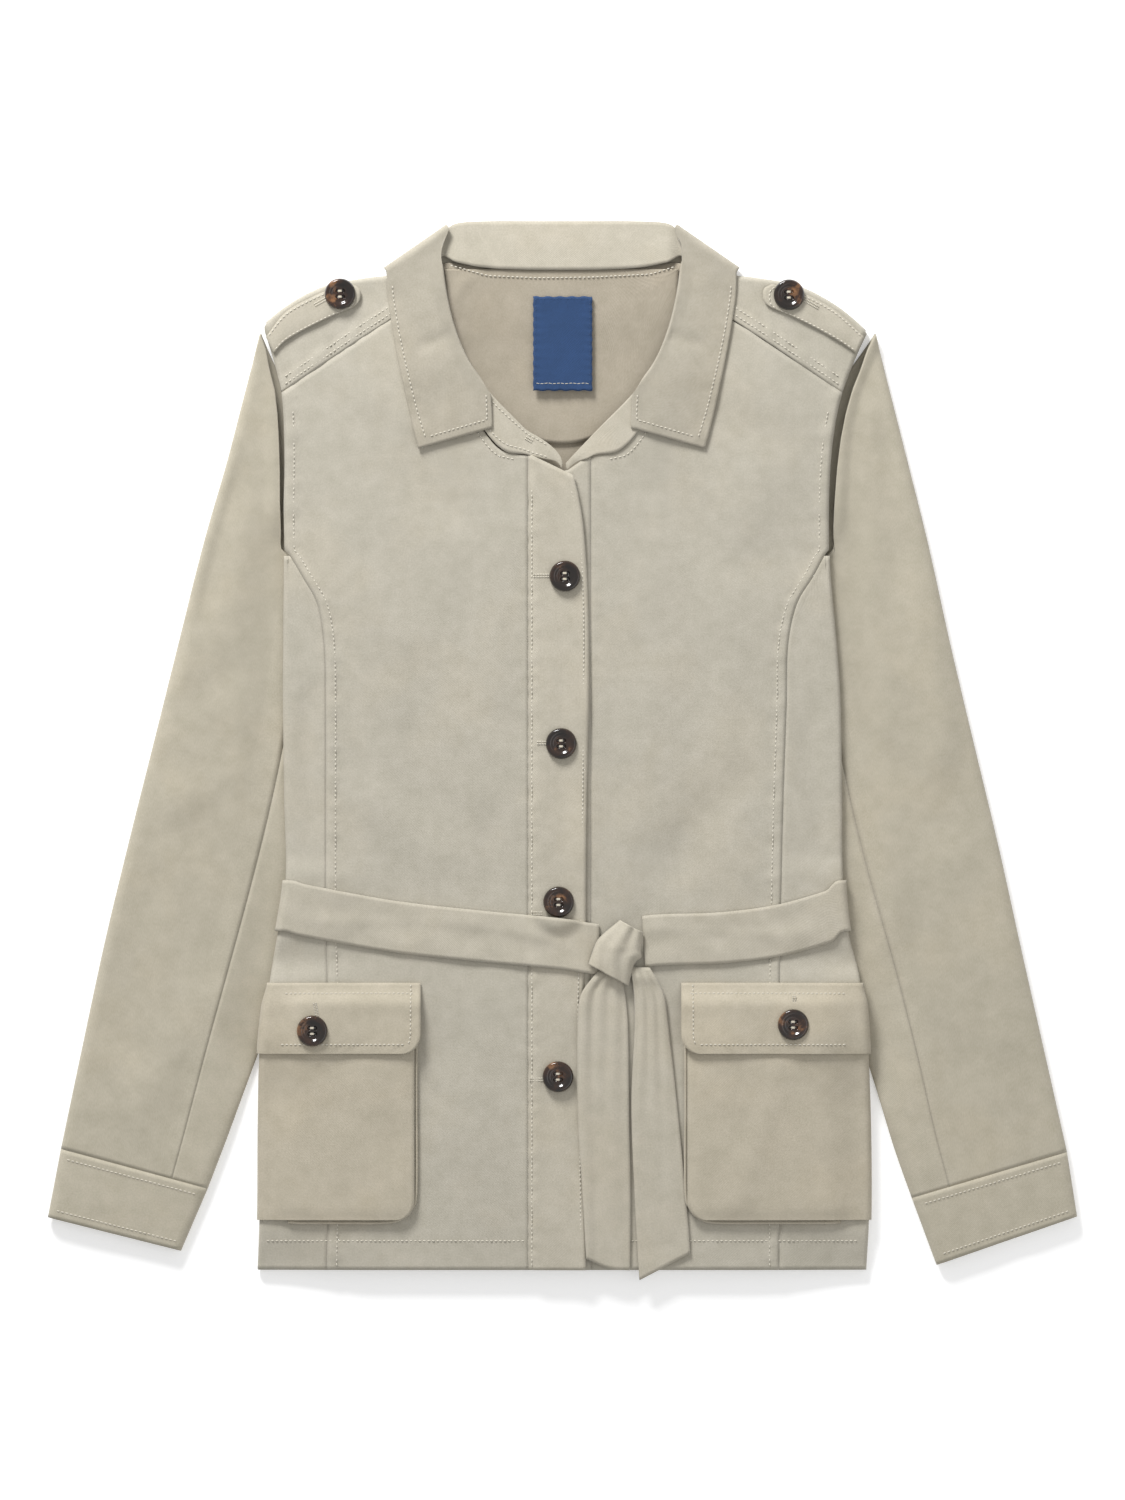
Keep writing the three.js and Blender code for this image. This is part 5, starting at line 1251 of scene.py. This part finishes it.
# Buttonhole: two close rows of short stitches, side by side.
def buttonhole(node, x0, y0, x1, y1):
    run = np.array([x1 - x0, y1 - y0])
    off = np.array([-run[1], run[0]]) / np.linalg.norm(run)
    for way in (-1, 1):
        line = np.linspace(0, 1, 12)[:, None] * run + [x0, y0] + off * 0.75 * way
        z = onTopOf(node, line[:, 0], line[:, 1]).mean() + 0.1
        stitch(np.concatenate([line, np.full((12, 1), z)], axis=1), size=0.95, pitch=1.05, thick=0.5)


for side in ("left", "right"):
    front(side)
    sidePanel(side)
    yoke(side)
    sleeves(side)
    cuff(side)
    pocket(side)
    epaulette(side)
print("body, sleeves and pockets made")
backPanel()
backFacing()
plackets()
collarStand()
collarLeaf()
belt()
beltTails()
beltKnot()
for key in buttonPlaces:
    button(key)
print("collar, belt and buttons made")
for node, *ends in buttonholes:
    buttonhole(node, *ends)
makeStitches("topStitches", 0, sewing)
makeStitches("buttonStitches", 1, buttonThread)
makeStitches("labelStitches", 2, labelCloth)

# Floor, light and camera
floorMaterial = plainMaterial("floor", (0.93, 0.93, 0.93), 0.9)
glow = floorMaterial.node_tree.nodes["Principled BSDF"].inputs
glow["Emission Color"].default_value = (1, 1, 1, 1)
glow["Emission Strength"].default_value = 0.26
floor = bpy.data.meshes.new("floor")
reach = 4.0
corners = [(-reach, -reach, 0), (reach, -reach, 0), (reach, reach, 0), (-reach, reach, 0)]
floor.from_pydata(corners, [], [(0, 1, 2, 3)])
floorObject = bpy.data.objects.new("floor", floor)
bpy.context.scene.collection.objects.link(floorObject)
floor.materials.append(floorMaterial)


# An area light at a place, turned towards its aim.
def softLight(name, place, aim, size, power):
    data = bpy.data.lights.new(name, "AREA")
    data.size = size
    data.energy = power
    lamp = bpy.data.objects.new(name, data)
    bpy.context.scene.collection.objects.link(lamp)
    lamp.location = place
    run = np.array(aim, float) - place
    lamp.rotation_euler = (math.atan2(math.hypot(run[0], run[1]), -run[2]), 0, math.atan2(-run[0], run[1]))


softLight("keyLight", (-0.9, 2.3, 1.25), (0, 0, 0), 0.8, 92)
softLight("fillLight", (1.4, -0.6, 2.6), (0, 0, 0), 2.5, 16)
world = bpy.data.worlds.new("studio")
world.use_nodes = True
world.node_tree.nodes["Background"].inputs["Color"].default_value = (1, 1, 1, 1)
world.node_tree.nodes["Background"].inputs["Strength"].default_value = 0.5
bpy.context.scene.world = world
bpy.context.scene.view_settings.view_transform = "Standard"

cameraHeight = 6.0
framed = 0.975                      # metres of the table that the longer side of the frame takes in
cameraData = bpy.data.cameras.new("camera")
sensor = 36
cameraData.sensor_width = sensor
cameraData.lens = sensor * cameraHeight / framed
camera = bpy.data.objects.new("camera", cameraData)
bpy.context.scene.collection.objects.link(camera)
camera.location = (0.0, 0.0002, cameraHeight)
bpy.context.scene.camera = camera
print("light and camera set")
